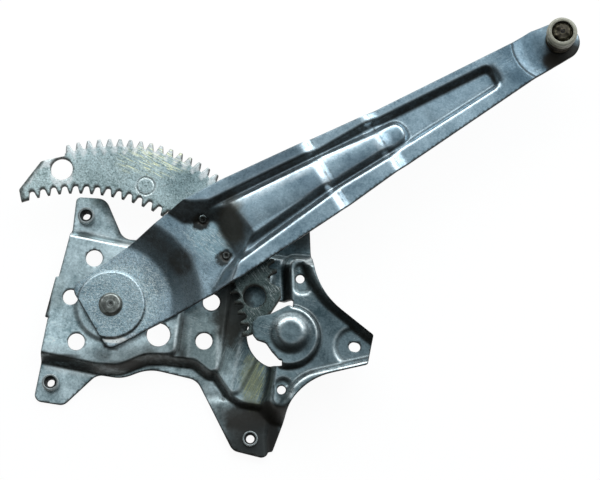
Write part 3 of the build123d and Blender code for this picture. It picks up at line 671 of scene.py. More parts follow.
def makePivotPin():
    place, head, low, high = cadSizes(pivotPin["node"])
    head += pivotPin["headSpread"]
    soft, dimple, deep = sizesOf(pivotPin, "headRound", "dimpleRadius", "dimpleDepth")
    shoulder, tail, rivet, pad = sizesOf(pivotPin, "shoulder", "tail", "rivet", "padLevel")
    seat, back = high - pivotPin["headDepth"], low + pivotPin["rivetDepth"]
    corners = rivetedTail(rivet, tail, low, back) + [
        (tail, pad, 0.05), (shoulder, pad, 0.1), (shoulder, seat, 0.1), (head, seat, 0.25),
        (head, high - soft - 0.25, 0.7), (head - 1.1 * soft, high - 0.25, 0.6), (dimple + 1.2, high, 0.6),
        (dimple, high - 0.05, 0.3), (0.45 * dimple, high - deep, 0.3), (0, high - deep, 0)]
    turnedPiece(pivotPin, corners, place, shape=hammeredHead(pivotPin, seat + 0.4, place))


def makeSpacer():
    place, outer, low, high = cadSizes(pivotSpacer["node"])
    bore = pivotSpacer["bore"]
    corners = [(bore, low, 0.1), (outer, low, 0.35), (outer, high, 0.35), (bore, high, 0.1)]
    turnedPiece(pivotSpacer, corners, place, closed=True)


def makeStud():
    place, collar, low, high = cadSizes(rollerStud["node"])
    rivet, tail, lip, shoulder, head = sizesOf(rollerStud, "rivet", "tail", "lip", "shoulder", "head")
    back = low + rollerStud["rivetDepth"]
    level = back + rollerStud["sheet"]
    top = level + rollerStud["collarDepth"]
    seat = high - rollerStud["headDepth"]
    corners = rivetedTail(rivet, tail, low, back) + [
        (tail, level, 0.1), (collar, level, 0.3), (collar, level + 1.5, 0.4), (lip, top - 1.0, 0.3),
        (lip, top, 0.3), (shoulder, top, 0.1), (shoulder, seat, 0.1), (head + 2.5, seat, 0.3),
        (head + 1.4, seat + 1.5, 1.0),
        (head + 0.1, high - 0.35, 0.8), (1.7, high - 0.15, 0.8), (0.8, high - 0.5, 0.5), (0, high - 0.5, 0)]
    turnedPiece(rollerStud, corners, place, shape=hammeredHead(rollerStud, seat + 0.3, place))


def makeRoller():
    place, rim, low, high = cadSizes(nylonRoller["node"])
    foot, barrel, bore, lip, mouth = sizesOf(nylonRoller, "foot", "barrel", "bore", "lip", "mouth")
    soft, rib = sizesOf(nylonRoller, "lipRound", "partingRib")
    rimLow, middle = high - nylonRoller["rimWidth"], high - nylonRoller["partingDepth"]
    corners = [
        (bore, low, 0.15), (foot, low, 0.35), (foot, low + 1.5, 0.4), (barrel, low + 2.3, 0.5),
        (barrel, rimLow - 0.8, 0.5), (rim - 0.15, rimLow, 0.5), (rim - 0.12, middle - 0.25, 0.1),
        (rim - 0.12 + rib, middle, 0.1), (rim - 0.12, middle + 0.25, 0.1), (rim - 0.15, high - 1.0, soft),
        (rim - 1.15, high, soft), (mouth, high, 0.5), (mouth, high - 0.9, 0.3), (lip, high - 1.6, 0.3),
        (lip, high - 3.0, 0.3), (bore, high - 3.0, 0.15)]
    turnedPiece(nylonRoller, corners, place, closed=True)


makePivotPin()
makeSpacer()
makeStud()
makeRoller()
print("turned pieces ready")


# the nuts are one turned blank, threaded and set on the legs by a node tree; sizes are in mm

clinchNut = {
    "places": ("nut_upper_left", "nut_lower_left", "nut_upper_right"),
    "outer": 5.15, "spigot": 3.70, "bore": 2.50, "lead": 3.80, "leadDepth": 1.2,
    "sheet": 1.6, "pitch": 1.0, "threadDepth": 0.32, "threadRelief": 0.2, "rows": 56, "seed": 4,
}

lowNut = dict(clinchNut, places=("nut_bottom",), outer=4.6, spigot=3.4, lead=3.6, rows=36)


def nutBlank(name, nut, tall, threadTop):
    # the foot of the blank is at its own origin
    outer, spigot, bore, lead, deep, step = sizesOf(nut, "outer", "spigot", "bore", "lead", "leadDepth", "sheet")
    corners = [
        (spigot, 0, 0.15), (spigot, step, 0), (outer, step, 0.15), (outer, tall, 0.5), (lead, tall, 0.25),
        (lead - 0.25, tall - 0.5 * deep, 0.1), (bore, tall - deep, 0.1)]
    corners += [(bore, threadTop * (1 - k / nut["rows"]) + 0.1, 0) for k in range(nut["rows"])]
    corners.append((bore, 0, 0.1))
    mesh = turnedMesh(name, corners, (0, 0), closed=True)
    # dark inside the bore below the lead: painted shade, with grease on the thread
    for mark, vertex in zip(mesh.attributes["grime"].data, mesh.vertices):
        if vertex.co.xy.length < 1.01 * lead * mm and vertex.co.z < (tall - 0.35) * mm:
            mark.value = 1.0
    return addObject(name, mesh)


def makeNutTree():
    tree = bpy.data.node_groups.new("threadAndSetNuts", "GeometryNodeTree")
    kinds = {"Geometry": "Geometry", "nut": "Object", "seed": "Int", "finish": "Material"}
    for name in ("Geometry", "nut", "bore", "pitch", "threadDepth", "threadTop", "seed", "finish"):
        kind = "NodeSocket" + kinds.get(name, "Float")
        tree.interface.new_socket(name, in_out="INPUT", socket_type=kind)
    tree.interface.new_socket("Geometry", in_out="OUTPUT", socket_type="NodeSocketGeometry")
    given = addNode(tree, "NodeGroupInput")

    blank = addNode(tree, "GeometryNodeObjectInfo", {"Object": given["nut"]})["Geometry"]
    place = addNode(tree, "ShaderNodeSeparateXYZ", {0: addNode(tree, "GeometryNodeInputPosition")})
    x, y, z = place[0], place[1], place[2]
    radius = (x * x + y * y).math("SQRT")
    turn = y.math("ARCTAN2", x) / (2 * math.pi)
    depth = (z / given["pitch"] + turn).math("PINGPONG", 0.5) * 2.0 * given["threadDepth"]
    grow = depth / radius
    inBore = radius.math("LESS_THAN", given["bore"] * 1.002)
    chosen = inBore * z.math("LESS_THAN", given["threadTop"]) * z.math("GREATER_THAN", 0.3 * mm)
    threaded = addNode(tree, "GeometryNodeSetPosition", {
        "Geometry": blank, "Selection": chosen, "Offset": combined(x * grow, y * grow)})

    fullTurn = {"Seed": given["seed"], 3: 2 * math.pi}
    spin = addNode(tree, "FunctionNodeRandomValue", fullTurn, data_type="FLOAT")[1]
    turned = addNode(tree, "ShaderNodeCombineXYZ", {2: spin})
    placed = addNode(tree, "GeometryNodeInstanceOnPoints", {
        "Points": given["Geometry"], "Instance": threaded, "Rotation": turned})
    real = addNode(tree, "GeometryNodeRealizeInstances", {"Geometry": placed})
    painted = addNode(tree, "GeometryNodeSetMaterial", {"Geometry": real, "Material": given["finish"]})
    addNode(tree, "NodeGroupOutput", {"Geometry": painted})
    return tree


def bakedNodes(name, mesh, tree, values):
    carrier = addObject(name + "Points", mesh)
    modifier = carrier.modifiers.new(name, "NODES")
    modifier.node_group = tree
    for socket in tree.interface.items_tree:
        if socket.item_type == "SOCKET" and socket.in_out == "INPUT" and socket.name in values:
            modifier[socket.identifier] = values[socket.name]
    carrier.update_tag()
    graph = bpy.context.evaluated_depsgraph_get()
    made = bpy.data.meshes.new_from_object(carrier.evaluated_get(graph))
    bpy.data.objects.remove(carrier)
    return addObject(name, made)


def makeNuts(name, nut, tree):
    feet = []
    for node in nut["places"]:
        place, _, low, high = cadSizes(node)
        feet.append(Vector((*place, low)) * mm)
    threadTop = high - low - nut["leadDepth"] - nut["threadRelief"]
    blank = nutBlank(name + "Blank", nut, high - low, threadTop)
    points = bpy.data.meshes.new(name + "Points")
    points.from_pydata(feet, [], [])
    values = {key: nut[key] * mm for key in ("bore", "pitch", "threadDepth")}
    values |= {"threadTop": threadTop * mm, "nut": blank, "seed": nut["seed"], "finish": finishes["nutZinc"]}
    piece = bakedNodes(name, points, tree, values)
    bpy.data.objects.remove(blank)
    placePiece(piece, "base", "nut", *nut["places"])


nutTree = makeNutTree()
makeNuts("clinchNuts", clinchNut, nutTree)
makeNuts("lowClinchNut", lowNut, nutTree)
print("nuts ready")


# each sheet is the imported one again, with soft bends and rolled edges; its marks are rows in mm
markColumns = {
    "strokes": ("start", "end", "width", "wear", "grime", "dull", "clean"),
    "zones": ("center", "reach", "radius"),
    "rings": ("center", "inner", "edge", "outer"),
    "crowns": ("start", "end", "widths", "slope"),
    "dents": ("center", "radius", "width", "depth", "lobes", "turn"),
    "creases": ("start", "end", "width", "depth"),
}

basePlate = {
    "name": "pressedPlate", "node": "base_plate", "body": "base", "slot": "plate", "finish": "plateZinc",
    "bendRadius": 2.2 * mm, "flatStep": 1.6 * mm, "bendStep": 0.5 * mm, "edgeRoll": 0.22 * mm,
    "waviness": 0.3 * mm, "waveLength": 24 * mm, "soot": 0.85, "shadeReach": (0.1, -0.7), "litReach": 0,
    "strokes": [
        ((-17, 46), (-6, 43), 4, 0.55),
        # painted shade down the pivot zone's right wall, and painted highlights along the bends beside it
        ((43.5, -8), (42.3, -32), 3, 0, 0.55),
        ((38.9, -12), (38, -32), 1.3, 0.65),
        ((47.4, -14), (46, -31), 1.1, 0.4),
        ((63.9, -12), (63.4, -38), 1.3, 0.65),
        # painted highlight below the lower-left leg's step
        ((-38.5, -35), (-11, -39.6), 3.4, 0.95),
        # painted shadow on the plate along the arm's edge, with some dirt
        ((-17.4, 1.7), (-3.4, -23.4), 1.6, 0, 0.8, 1),
        ((-3.4, -24.6), (3, -26), 1.5, 0, 0.8, 1),
        ((3, -26), (24, -15.4), 1.2, 0, 0.5, 1),
        ((78.5, -14), (70.5, -58), 1.2, 0.45),
        # painted shade on the wall down to the bottom leg, and on the motor zone's lower slope
        ((48, -50), (76, -72), 11, 0, 0.62, 1),
        ((94, -63.5), (107, -66), 4, 0, 0.9, 1),
        # painted shade along the lower step's wall
        ((-38, -27.5), (-4, -30.5), 6, 0, 0.35),
        ((-4, -30.5), (23, -27), 7, 0, 0.4),
        ((23, -26.5), (44, -28.5), 6, 0, 0.32),
        ((-36.8, 18), (-39.4, -6), 2.8, 0, 0.9),
        ((-5, 67), (5.5, 48), 6, 0, 0.7),
        ((4.5, 47), (16, 43), 4, 0, 0.45),
    ],
    "zones": [
        ((110, -19), 12.8, 3),
        ((101, -61), 13, 5),
        ((138, 16), 13, 4.5),
        ((151, -4), 12, 4.5),
        ((58, -55), 9, 5),
    ],
}

liftArm = {
    "name": "pressedArm", "node": "lift_arm", "body": "arm", "slot": "arm", "finish": "armZinc",
    "bendRadius": 2.9 * mm, "flatStep": 1.7 * mm, "bendStep": 0.5 * mm, "edgeRoll": 0.22 * mm,
    "waviness": 0.25 * mm, "waveLength": 30 * mm, "soot": 0.95, "shadeReach": (0.1, -0.7), "litReach": 0,
    "strokes": [
        ((64, 64), (110, 90), 7, 0, 0.24),
        ((122, 95), (146, 108), 6, 0, 0.16),
        # painted highlights on the cross bends, with the dark marks wiped away under them
        ((115.6, 99), (118.4, 91), 3, 0.7, 0, 0, 0.8),
        ((119.5, 84.2), (123.5, 82.2), 2.4, 1, 0, 0, 1),
        ((123.7, 81), (130, 70), 3.6, 0.65),
        ((129.3, 68.2), (133.6, 66.6), 2, 0.9, 0, 0, 1),
        ((133.3, 64.6), (138.2, 57), 3.2, 0.7),
        ((149.5, 116), (153.2, 109), 3.4, 0.75, 0, 0, 0.8),
        ((152.5, 102.6), (157.5, 100), 2.4, 0.9, 0, 0, 0.9),
        ((158.5, 97.5), (161.5, 93), 2.8, 0.55),
        ((164.6, 89.4), (170.2, 81.5), 3, 0.7, 0, 0, 0.6),
        # painted highlights along the rib's top edge
        ((71, 57), (118, 80.8), 4.6, 0.92),
        ((126, 84), (160, 102), 2.4, 0.7),
        # painted highlight along the arm's lower edge by the hub
        ((0, -24.4), (15, -18.2), 2.6, 0.95, 0, 0, 1),
        # painted shade along the hub cone
        ((50, -1), (42, 25), 9.5, 0, 0.6),
        ((42, 25), (20, 44), 9.5, 0, 0.6),
    ],
    "zones": [
        ((0, 0), 29, 0.8),
        ((256, 151), 30, 5.5),
    ],
    "rings": [
        ((0, 0), 17, 20.3, 22.2),
    ],
    "crowns": [
        ((76.9, 51.1), (172.9, 103), (11, 4.8), 0.27),
        ((196, 118), (238, 143), (8, 5), 0.1),
    ],
    "dents": [
        ((54.7, 50.6), 2.7, 0.9, 0.75, 5, 0.6),
        ((68.8, 28.5), 2.9, 0.8, 0.65, 4, 0.2),
        ((265.4, 159.6), 23.9, 0.45, 0.22, 0, 0),
    ],
    "creases": [
        ((116.5, 96), (139.9, 57.4), 0.45, 0.22),
        ((119, 97.4), (142.4, 58.9), 0.45, 0.16),
        ((152, 115), (172.4, 81.2), 0.45, 0.2),
    ],
}

toothedSector = {
    "name": "toothedSector", "node": "sector_gear", "body": "arm", "slot": "sector", "finish": "sectorZinc",
    "bendRadius": 0.55 * mm, "flatStep": 1.5 * mm, "bendStep": 0.5 * mm, "edgeRoll": 0.3 * mm,
    "waviness": 0.1 * mm, "waveLength": 26 * mm, "soot": 0.6, "shadeReach": (0.2, -1.5), "litReach": 4.6,
    "strokes": [
        ((92, 34), (84, -24), 30, 0, 0, 1),
        ((92, 30), (88, -20), 26, 0, 0, 1),
        # painted shade along the sector's upper-left edge wall
        ((-55.2, 70), (-43, 86.8), 1.6, 0, 0.95, 1),
        ((-55.6, 72), (-53.6, 64), 2, 0, 0.9, 1),
    ],
}

cellSize = 0.4 * mm          # spacing of the height samples that a sheet is bent from
sharpBend = 12               # curvature, per metre, past which the fine spacing is used
fullFold = 260               # curvature, per metre, at which a ridge gets full wear and sheen and a corner full painted shade and grime
steepWall = (1.2, 2.8)       # slopes between which a drawn wall turns darker, as painted shade
shadedSide = (-0.2, -0.98)     # the walls that lean this way get painted shade
shadedLean = (0.12, 0.75)      # slopes between which they darken
litLean = 0.5                # slope of a wall that leans the other way and gets a painted highlight
smallestHole = 10 * mm * mm
thinnest = 0.4 * mm
outlineStep = 0.9 * mm
outlineFold = {"run": 4 * mm, "gap": 0.5 * mm, "corners": 14}

# rolls and gaps are shares of a sheet's edge roll
# grime darkens every rim with dirt and painted shade; shade is painted shade along the lower rims, lit a painted
# highlight along the upper ones
sheetRim = {
    "width": 0.85 * mm, "grime": 0.75, "shade": 0.9, "lit": 0.9,
    "frontRoll": 0.75, "backRoll": 0.3, "innerGap": 0.8, "gridGap": 2.2,
}


def rowsOf(sheet, kind):
    return [dict(zip(markColumns[kind], row)) for row in sheet.get(kind, ())]


def loopArea(loop):
    ahead = np.roll(loop, -1, axis=0)
    return 0.5 * abs(np.dot(loop[:, 0], ahead[:, 1]) - np.dot(loop[:, 1], ahead[:, 0]))


def mergedCopy(node):
    mesh = bmesh.new()
    mesh.from_mesh(nodes[node].data)
    bmesh.ops.remove_doubles(mesh, verts=mesh.verts, dist=tiny)
    mesh.normal_update()
    mesh.verts.ensure_lookup_table()
    return mesh


def planLoops(mesh):
    # the border in plan of all the faces that look up, with the sheet on its left
    border = set()
    for face in mesh.faces:
        if face.normal.z < 0.02:
            continue
        corners = [(round(v.co.x / mm, 3), round(v.co.y / mm, 3)) for v in face.verts]
        for start, end in zip(corners, corners[1:] + corners[:1]):
            if (end, start) in border:
                border.remove((end, start))
            elif start != end:
                border.add((start, end))
    follow = {}
    for start, end in sorted(border):
        follow.setdefault(start, []).append(end)
    loops = []
    while follow:
        start = min(follow)
        loop, here = [], start
        while here in follow:
            loop.append(here)
            there = follow[here].pop()
            if not follow[here]:
                del follow[here]
            here = there
            if here == start:
                break
        loop = np.array(loop)
        if loopArea(loop) > 1:
            loops.append(loop * mm)
    return loops


def withoutFolds(loop):
    # a steep wall seen from above can fold the outline over itself
    kept, k = list(loop), 0
    while k < len(kept):
        for last in range(min(k + outlineFold["corners"], len(kept) - 1), k + 2, -1):
            run = np.linalg.norm(np.diff(kept[k:last + 1], axis=0), axis=1).sum()
            if run > outlineFold["run"] and np.linalg.norm(kept[k] - kept[last]) < outlineFold["gap"]:
                del kept[k + 1:last + 1]
                break
        k += 1
    return np.array(kept)


def spacedLoop(loop, step):
    points = []
    for start, end in zip(loop, np.roll(loop, -1, axis=0)):
        count = max(1, round(float(np.linalg.norm(end - start)) / step))
        points.extend(start + (end - start) * k / count for k in range(count))
    kept = [points[0]]
    for point in points[1:]:
        if np.linalg.norm(point - kept[-1]) > 0.3 * step:
            kept.append(point)
    return np.array(kept)


def insideLoops(points, loops):
    # even and odd crossings of a line towards -X
    inside = np.zeros(len(points), bool)
    for loop in loops:
        for (x0, y0), (x1, y1) in zip(loop, np.roll(loop, -1, axis=0)):
            if y0 == y1:
                continue
            spans = (points[:, 1] >= min(y0, y1)) & (points[:, 1] < max(y0, y1))
            cross = x0 + (points[:, 1] - y0) * (x1 - x0) / (y1 - y0)
            inside ^= spans & (cross < points[:, 0])
    return inside


def sampledHeights(tree, low, high, side):
    # one ray for each cell, from the front (side 1) or from the back (side -1)
    columns = int((high.x - low.x) / cellSize) + 3
    rows = int((high.y - low.y) / cellSize) + 3
    start = high.z + 0.01 if side > 0 else low.z - 0.01
    heights = np.full((rows, columns), np.nan)
    down = Vector((0, 0, -side))
    for row in range(rows):
        y = low.y + (row - 1) * cellSize
        for column in range(columns):
            hit = tree.ray_cast(Vector((low.x + (column - 1) * cellSize, y, start)), down)[0]
            if hit is not None:
                heights[row, column] = hit.z
    return heights


def bentHeights(heights, radius):
    # a weighted plane through the samples within the radius: flats stay, sharp bends turn soft
    reach = int(radius / cellSize) + 1
    held = ~np.isnan(heights)
    padHeld = np.pad(held, reach)
    padFilled = np.pad(np.where(held, heights, 0.0), reach)
    shape = heights.shape
    sums = {key: np.zeros(shape) for key in ("", "x", "y", "xx", "xy", "yy", "z", "zx", "zy")}
    for dy in range(-reach, reach + 1):
        for dx in range(-reach, reach + 1):
            distance = math.hypot(dx, dy) * cellSize / radius
            if distance >= 1:
                continue
            window = slice(reach + dy, reach + dy + shape[0]), slice(reach + dx, reach + dx + shape[1])
            weight = (1 - distance ** 2) ** 2 * padHeld[window]
            factors = {"x": dx, "y": dy, "z": padFilled[window]}
            for key in sums:
                sums[key] += math.prod((factors[letter] for letter in key), start=weight)
    total, steady = sums[""], 1e-3
    matrix = np.stack([total + 1e-9, sums["x"], sums["y"], sums["x"], sums["xx"] + steady, sums["xy"],
                       sums["y"], sums["xy"], sums["yy"] + steady], -1).reshape(*shape, 3, 3)
    target = np.stack([sums["z"], sums["zx"], sums["zy"]], -1)[..., None]
    return np.where(total > 0.5, np.linalg.solve(matrix, target)[..., 0, 0], np.nan)


def spreadOut(heights, cells=4):
    # heights carried a few cells past the edge of the sheet
    for _ in range(cells):
        total, count = np.zeros_like(heights), np.zeros_like(heights)
        for axis in (0, 1):
            for way in (1, -1):
                beside = np.roll(heights, way, axis)
                total += np.nan_to_num(beside)
                count += ~np.isnan(beside)
        heights = np.where(np.isnan(heights) & (count > 0), total / np.maximum(count, 1), heights)
    return heights


def cellOf(low, x, y):
    return (x - low.x) / cellSize + 1, (y - low.y) / cellSize + 1


def heightAt(heights, low, points):
    # bilinear, over the cells that hold a height
    column, row = cellOf(low, points[:, 0], points[:, 1])
    c0 = np.clip(np.floor(column).astype(int), 0, heights.shape[1] - 2)
    r0 = np.clip(np.floor(row).astype(int), 0, heights.shape[0] - 2)
    fc, fr = column - c0, row - r0
    total, weights = np.zeros(len(points)), np.zeros(len(points))
    for r, c, w in ((r0, c0, (1 - fr) * (1 - fc)), (r0, c0 + 1, (1 - fr) * fc),
                    (r0 + 1, c0, fr * (1 - fc)), (r0 + 1, c0 + 1, fr * fc)):
        z = heights[r, c]
        held = ~np.isnan(z)
        total += np.where(held, w * np.nan_to_num(z), 0)
        weights += np.where(held, w, 0)
    return total / np.maximum(weights, 1e-9)


def steppedRings(heights, low, sheet):
    # the sloping edge of a drawn disc drawn up into a short step
    for ring in rowsOf(sheet, "rings"):
        rows, columns = np.nonzero(~np.isnan(heights))
        plan = np.column_stack([low.x + (columns - 1) * cellSize, low.y + (rows - 1) * cellSize])
        center = np.array(ring["center"]) * mm
        aside = plan - center
        away = np.hypot(aside[:, 0], aside[:, 1]) / mm
        chosen = (away > ring["inner"]) & (away < ring["outer"])
        rows, columns, aside, away = rows[chosen], columns[chosen], aside[chosen], away[chosen]
        reach = np.where(away < ring["edge"], ring["inner"], ring["outer"])
        level = heightAt(heights, low, center + aside * (reach / away)[:, None])
        held = level > 1 * mm
        heights = heights.copy()
        heights[rows[held], columns[held]] = level[held]
    return heights


def softened(heights, low, sheet):
    # the sheet's own bend radius, with another one in each zone
    heights = steppedRings(heights, low, sheet)
    bent = spreadOut(bentHeights(heights, sheet["bendRadius"]))
    for zone in rowsOf(sheet, "zones"):
        column, row = cellOf(low, zone["center"][0] * mm, zone["center"][1] * mm)
        reach, radius = zone["reach"] * mm / cellSize, zone["radius"] * mm
        margin = int(reach + 2 * radius / cellSize) + 2
        rows = slice(max(0, int(row) - margin), int(row) + margin)
        columns = slice(max(0, int(column) - margin), int(column) + margin)
        part = spreadOut(bentHeights(heights[rows, columns], radius))
        y, x = np.mgrid[0:part.shape[0], 0:part.shape[1]]
        away = np.hypot(x + columns.start - column, y + rows.start - row)
        share = np.clip((reach - away) / (3 * mm / cellSize), 0, 1)
        mixed = part * share + bent[rows, columns] * (1 - share)
        bent[rows, columns] = np.where(np.isnan(mixed), bent[rows, columns], mixed)
    return bent


def curvature(heights):
    # the fold at each cell, over a ridge or into a corner, and how sharp any bend near it is
    filled = np.where(np.isnan(heights), 0, heights)
    fold, bend = np.zeros_like(filled), np.zeros_like(filled)
    for axis in (0, 1):
        second = np.roll(filled, 1, axis) - 2 * filled + np.roll(filled, -1, axis)
        gaps = np.isnan(np.roll(heights, 1, axis) + heights + np.roll(heights, -1, axis))
        second = np.where(gaps, 0, second) / cellSize ** 2
        fold += second
        bend += np.abs(second)
    for axis in (0, 1):
        bend = np.maximum(bend, np.maximum(np.roll(bend, 1, axis), np.roll(bend, -1, axis)))
    return fold, bend


def steepness(heights):
    # how steep each cell is, and how far it leans to the side that gets painted shade
    riseY, riseX = [np.nan_to_num(np.roll(heights, -1, axis) - np.roll(heights, 1, axis)) / (2 * cellSize)
                    for axis in (0, 1)]
    low, high = steepWall
    steep = np.clip((np.hypot(riseX, riseY) - low) / (high - low), 0, 1)
    return steep, -(riseX * shadedSide[0] + riseY * shadedSide[1])


def nearLine(plan, mark):
    # in mm: how far each point is along the mark's line and aside of it, and the line's length
    start, end = np.array(mark["start"]), np.array(mark["end"])
    length = np.linalg.norm(end - start)
    along = (end - start) / length
    away = plan / mm - start
    run = np.clip(away @ along, 0, length)
    return run, np.linalg.norm(away - run[:, None] * along, axis=1), length


def dentDepth(sheet, plan):
    # a staking tool's ring of dents and straight creases, and how near each point is to one
    depth, near = np.zeros(len(plan)), np.zeros(len(plan), bool)
    for dent in rowsOf(sheet, "dents"):
        away = plan / mm - np.array(dent["center"])
        reach = np.hypot(away[:, 0], away[:, 1])
        turn = np.arctan2(away[:, 1], away[:, 0]) * dent["lobes"] + dent["turn"]
        ring = np.exp(-((reach - dent["radius"]) / dent["width"]) ** 2) * (0.65 + 0.35 * np.cos(turn))
        depth += ring * dent["depth"] * mm
        near |= abs(reach - dent["radius"]) < 3 * dent["width"]
    for crease in rowsOf(sheet, "creases"):
        run, aside, _ = nearLine(plan, crease)
        uneven = 0.6 + 0.4 * np.sin(run * 0.9) * np.sin(run * 0.37)
        depth += np.exp(-(aside / crease["width"]) ** 2) * uneven * crease["depth"] * mm
        near |= aside < 3 * crease["width"]
    return depth, near


def crownHeight(sheet, plan):
    # long panels that belly out a little between their bends
    rise = np.zeros(len(plan))
    for crown in rowsOf(sheet, "crowns"):
        run, aside, length = nearLine(plan, crown)
        first, last = crown["widths"]
        width = first + (last - first) * run / length
        rise += np.clip(1 - (aside / width) ** 2, 0, 1) * width * crown["slope"] / 2 * mm
    return rise


def strokeMarks(sheet, plan, wear, grime):
    # bright and dark lines laid along the folds: painted highlights, painted shade and painted shadow, with some
    # wear and dirt
    for stroke in rowsOf(sheet, "strokes"):
        share = np.clip(1 - (nearLine(plan, stroke)[1] / stroke["width"]) ** 2, 0, 1)
        grime = grime * (1 - share * stroke.get("clean", 0)) + share * stroke.get("grime", 0)
        wear = wear * (1 - share * stroke.get("dull", 0)) + share * stroke.get("wear", 0)
    return np.clip(wear, 0, 1), np.clip(grime, 0, 1)


def rimDistance(rimTree, plan):
    return np.array([rimTree.find((x, y, 0))[2] for x, y in plan])


def innerRim(loops, width):
    # a row of points just inside each loop, where the rolled edge starts
    inner = []
    for loop in loops:
        along = np.roll(loop, -1, axis=0) - np.roll(loop, 1, axis=0)
        along /= np.maximum(np.linalg.norm(along, axis=1, keepdims=True), 1e-9)
        inner.append(loop + np.stack([-along[:, 1], along[:, 0]], -1) * width)
    return np.concatenate(inner)


def sheetPoints(sheet, low, high, bendMap, loops, rimTree):
    # the outline, the row inside it, and a grid of triangles that is finer over the bends
    grids = []
    for step, fine in ((sheet["flatStep"], False), (sheet["bendStep"], True)):
        across, upward = np.arange(low.x, high.x, step), np.arange(low.y, high.y, step * 0.866)
        grid = np.array([(x + (0.5 * step if k % 2 else 0), y) for k, y in enumerate(upward) for x in across])
        sharp = (heightAt(bendMap, low, grid) > sharpBend) | dentDepth(sheet, grid)[1]
        grids.append(grid[sharp == fine])
    roll = sheet["edgeRoll"]
    kept = [np.concatenate(loops)]
    for points, gap in (innerRim(loops, roll), "innerGap"), (np.concatenate(grids), "gridGap"):
        points = points[insideLoops(points, loops)]
        kept.append(points[rimDistance(rimTree, points) > sheetRim[gap] * roll])
    return np.concatenate(kept)


def triangulated(points, loops):
    # triangles in plan, with every side of the loops among theirs
    edges, base = [], 0
    for loop in loops:
        edges.extend((base + k, base + (k + 1) % len(loop)) for k in range(len(loop)))
        base += len(loop)
    spread = geometry.delaunay_2d_cdt([Vector(p) for p in points / mm], edges, [], 0, 1e-5)
    plan = np.array([p[:] for p in spread[0]]) * mm
    faces = np.array([f[:3] for f in spread[2]])
    faces = faces[insideLoops(plan[faces].mean(axis=1), loops)]
    used = np.unique(faces)
    renumber = np.full(len(plan), -1)
    renumber[used] = np.arange(len(used))
    return plan[used], renumber[faces]


def sheetMesh(sheet, plan, faces, front, back):
    # the front and back skins, and the sheared edge that joins their rims
    sides = np.sort(np.concatenate([faces[:, [0, 1]], faces[:, [1, 2]], faces[:, [2, 0]]]), axis=1)
    pairs, times = np.unique(sides, axis=0, return_counts=True)
    rimSides = set(map(tuple, pairs[times == 1]))
    rimVerts = np.unique(pairs[times == 1])
    back = np.minimum(back, front - thinnest)
    front[rimVerts] -= sheet["edgeRoll"] * sheetRim["frontRoll"]
    back[rimVerts] += sheet["edgeRoll"] * sheetRim["backRoll"]
    verts = np.concatenate([np.column_stack([plan, front]), np.column_stack([plan, back])])
    count = len(plan)
    polygons = [tuple(f) for f in faces] + [tuple(f[::-1] + count) for f in faces]
    for a, b, c in faces:
        for p, q in ((a, b), (b, c), (c, a)):
            if (min(p, q), max(p, q)) in rimSides:
                polygons.append((q, p, p + count, q + count))
    mesh = bpy.data.meshes.new(sheet["name"])
    mesh.from_pydata(verts.tolist(), [], [tuple(int(i) for i in f) for f in polygons])
    smoothShaded(mesh, 50)
    skins = 2 * len(faces)
    for finish in (sheet["finish"], "shearedEdge"):
        mesh.materials.append(finishes[finish])
    mesh.polygons.foreach_set("material_index", [0] * skins + [1] * (len(polygons) - skins))
    return mesh


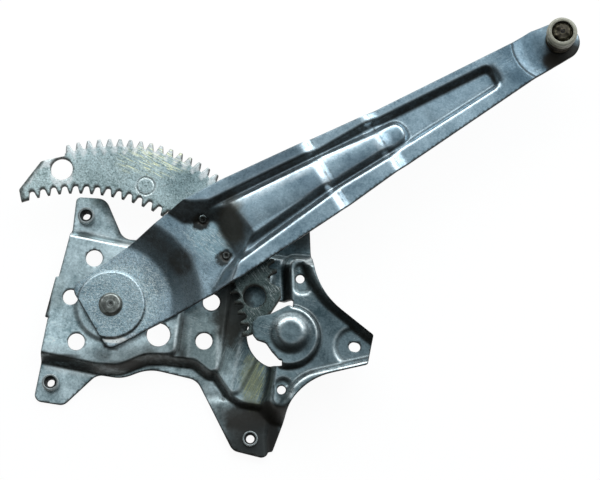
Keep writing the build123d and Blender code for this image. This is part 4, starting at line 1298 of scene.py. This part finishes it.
def sheetMarks(sheet, plan, fold, steep, lean, dents, loops, rimTree):
    # ridges, upper rims and the walls that lean towards the light get painted highlights, with some wear;
    # corners, dents, creases, steep walls, rims, lower rims and the walls on the shaded side get painted shade,
    # with some dirt
    sideShaded = np.clip((lean - shadedLean[0]) / (shadedLean[1] - shadedLean[0]), 0, 1) * sheet["soot"]
    lit = np.clip(-lean / litLean, 0, 1)
    wear = np.clip(-fold, 0, 1) * (1 - sideShaded) * (0.3 + 0.7 * lit) + 0.35 * lit
    nearRim = np.clip(1 - rimDistance(rimTree, plan) / sheetRim["width"], 0, 1)
    # painted shade along the rims on the lower side, and a painted highlight along those on the upper side
    lower = ~insideLoops(plan + np.array(sheet["shadeReach"]) * mm, loops)
    upper = ~insideLoops(plan + np.array([0, sheet["litReach"] * mm]), loops)
    wear = wear * (1 - nearRim) + sheetRim["lit"] * upper * (sheet["litReach"] > 1)
    grime = 0.4 * np.clip(fold, 0, 1) + 0.4 * steep * (1 - lit) + sideShaded + dents / (0.3 * mm)
    grime += nearRim * sheetRim["grime"] + sheetRim["shade"] * lower
    return strokeMarks(sheet, plan, wear, grime)


def pressedSheet(sheet):
    merged = mergedCopy(sheet["node"])
    tree = BVHTree.FromBMesh(merged)
    low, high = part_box(sheet["node"])
    loops = [withoutFolds(loop) for loop in planLoops(merged)]
    loops = [spacedLoop(loop, outlineStep) for loop in loops if loopArea(loop) > smallestHole]
    merged.free()
    bent = {side: softened(sampledHeights(tree, low, high, side), low, sheet) for side in (1, -1)}

    rims = np.concatenate(loops)
    rimTree = KDTree(len(rims))
    for k, (x, y) in enumerate(rims):
        rimTree.insert((x, y, 0), k)
    rimTree.balance()
    foldMap, bendMap = curvature(bent[1])
    plan, faces = triangulated(sheetPoints(sheet, low, high, bendMap, loops, rimTree), loops)

    wave = np.array([noise.noise(Vector((x, y, 0)) / sheet["waveLength"]) for x, y in plan])
    wave = wave * sheet["waviness"] + crownHeight(sheet, plan)
    dents = dentDepth(sheet, plan)[0]
    front, back = heightAt(bent[1], low, plan) + wave - dents, heightAt(bent[-1], low, plan) + wave
    mesh = sheetMesh(sheet, plan, faces, front, back)

    fold = heightAt(foldMap, low, plan) / fullFold
    steep, lean = [heightAt(values, low, plan) for values in steepness(bent[1])]
    wear, grime = sheetMarks(sheet, plan, fold, steep, lean, dents, loops, rimTree)
    addMarks(mesh, np.concatenate([wear, grime]), np.concatenate([grime, wear]))
    placePiece(addObject(sheet["name"], mesh), sheet["body"], sheet["slot"], sheet["node"])


for sheet in (basePlate, liftArm, toothedSector):
    pressedSheet(sheet)
print("sheets ready")
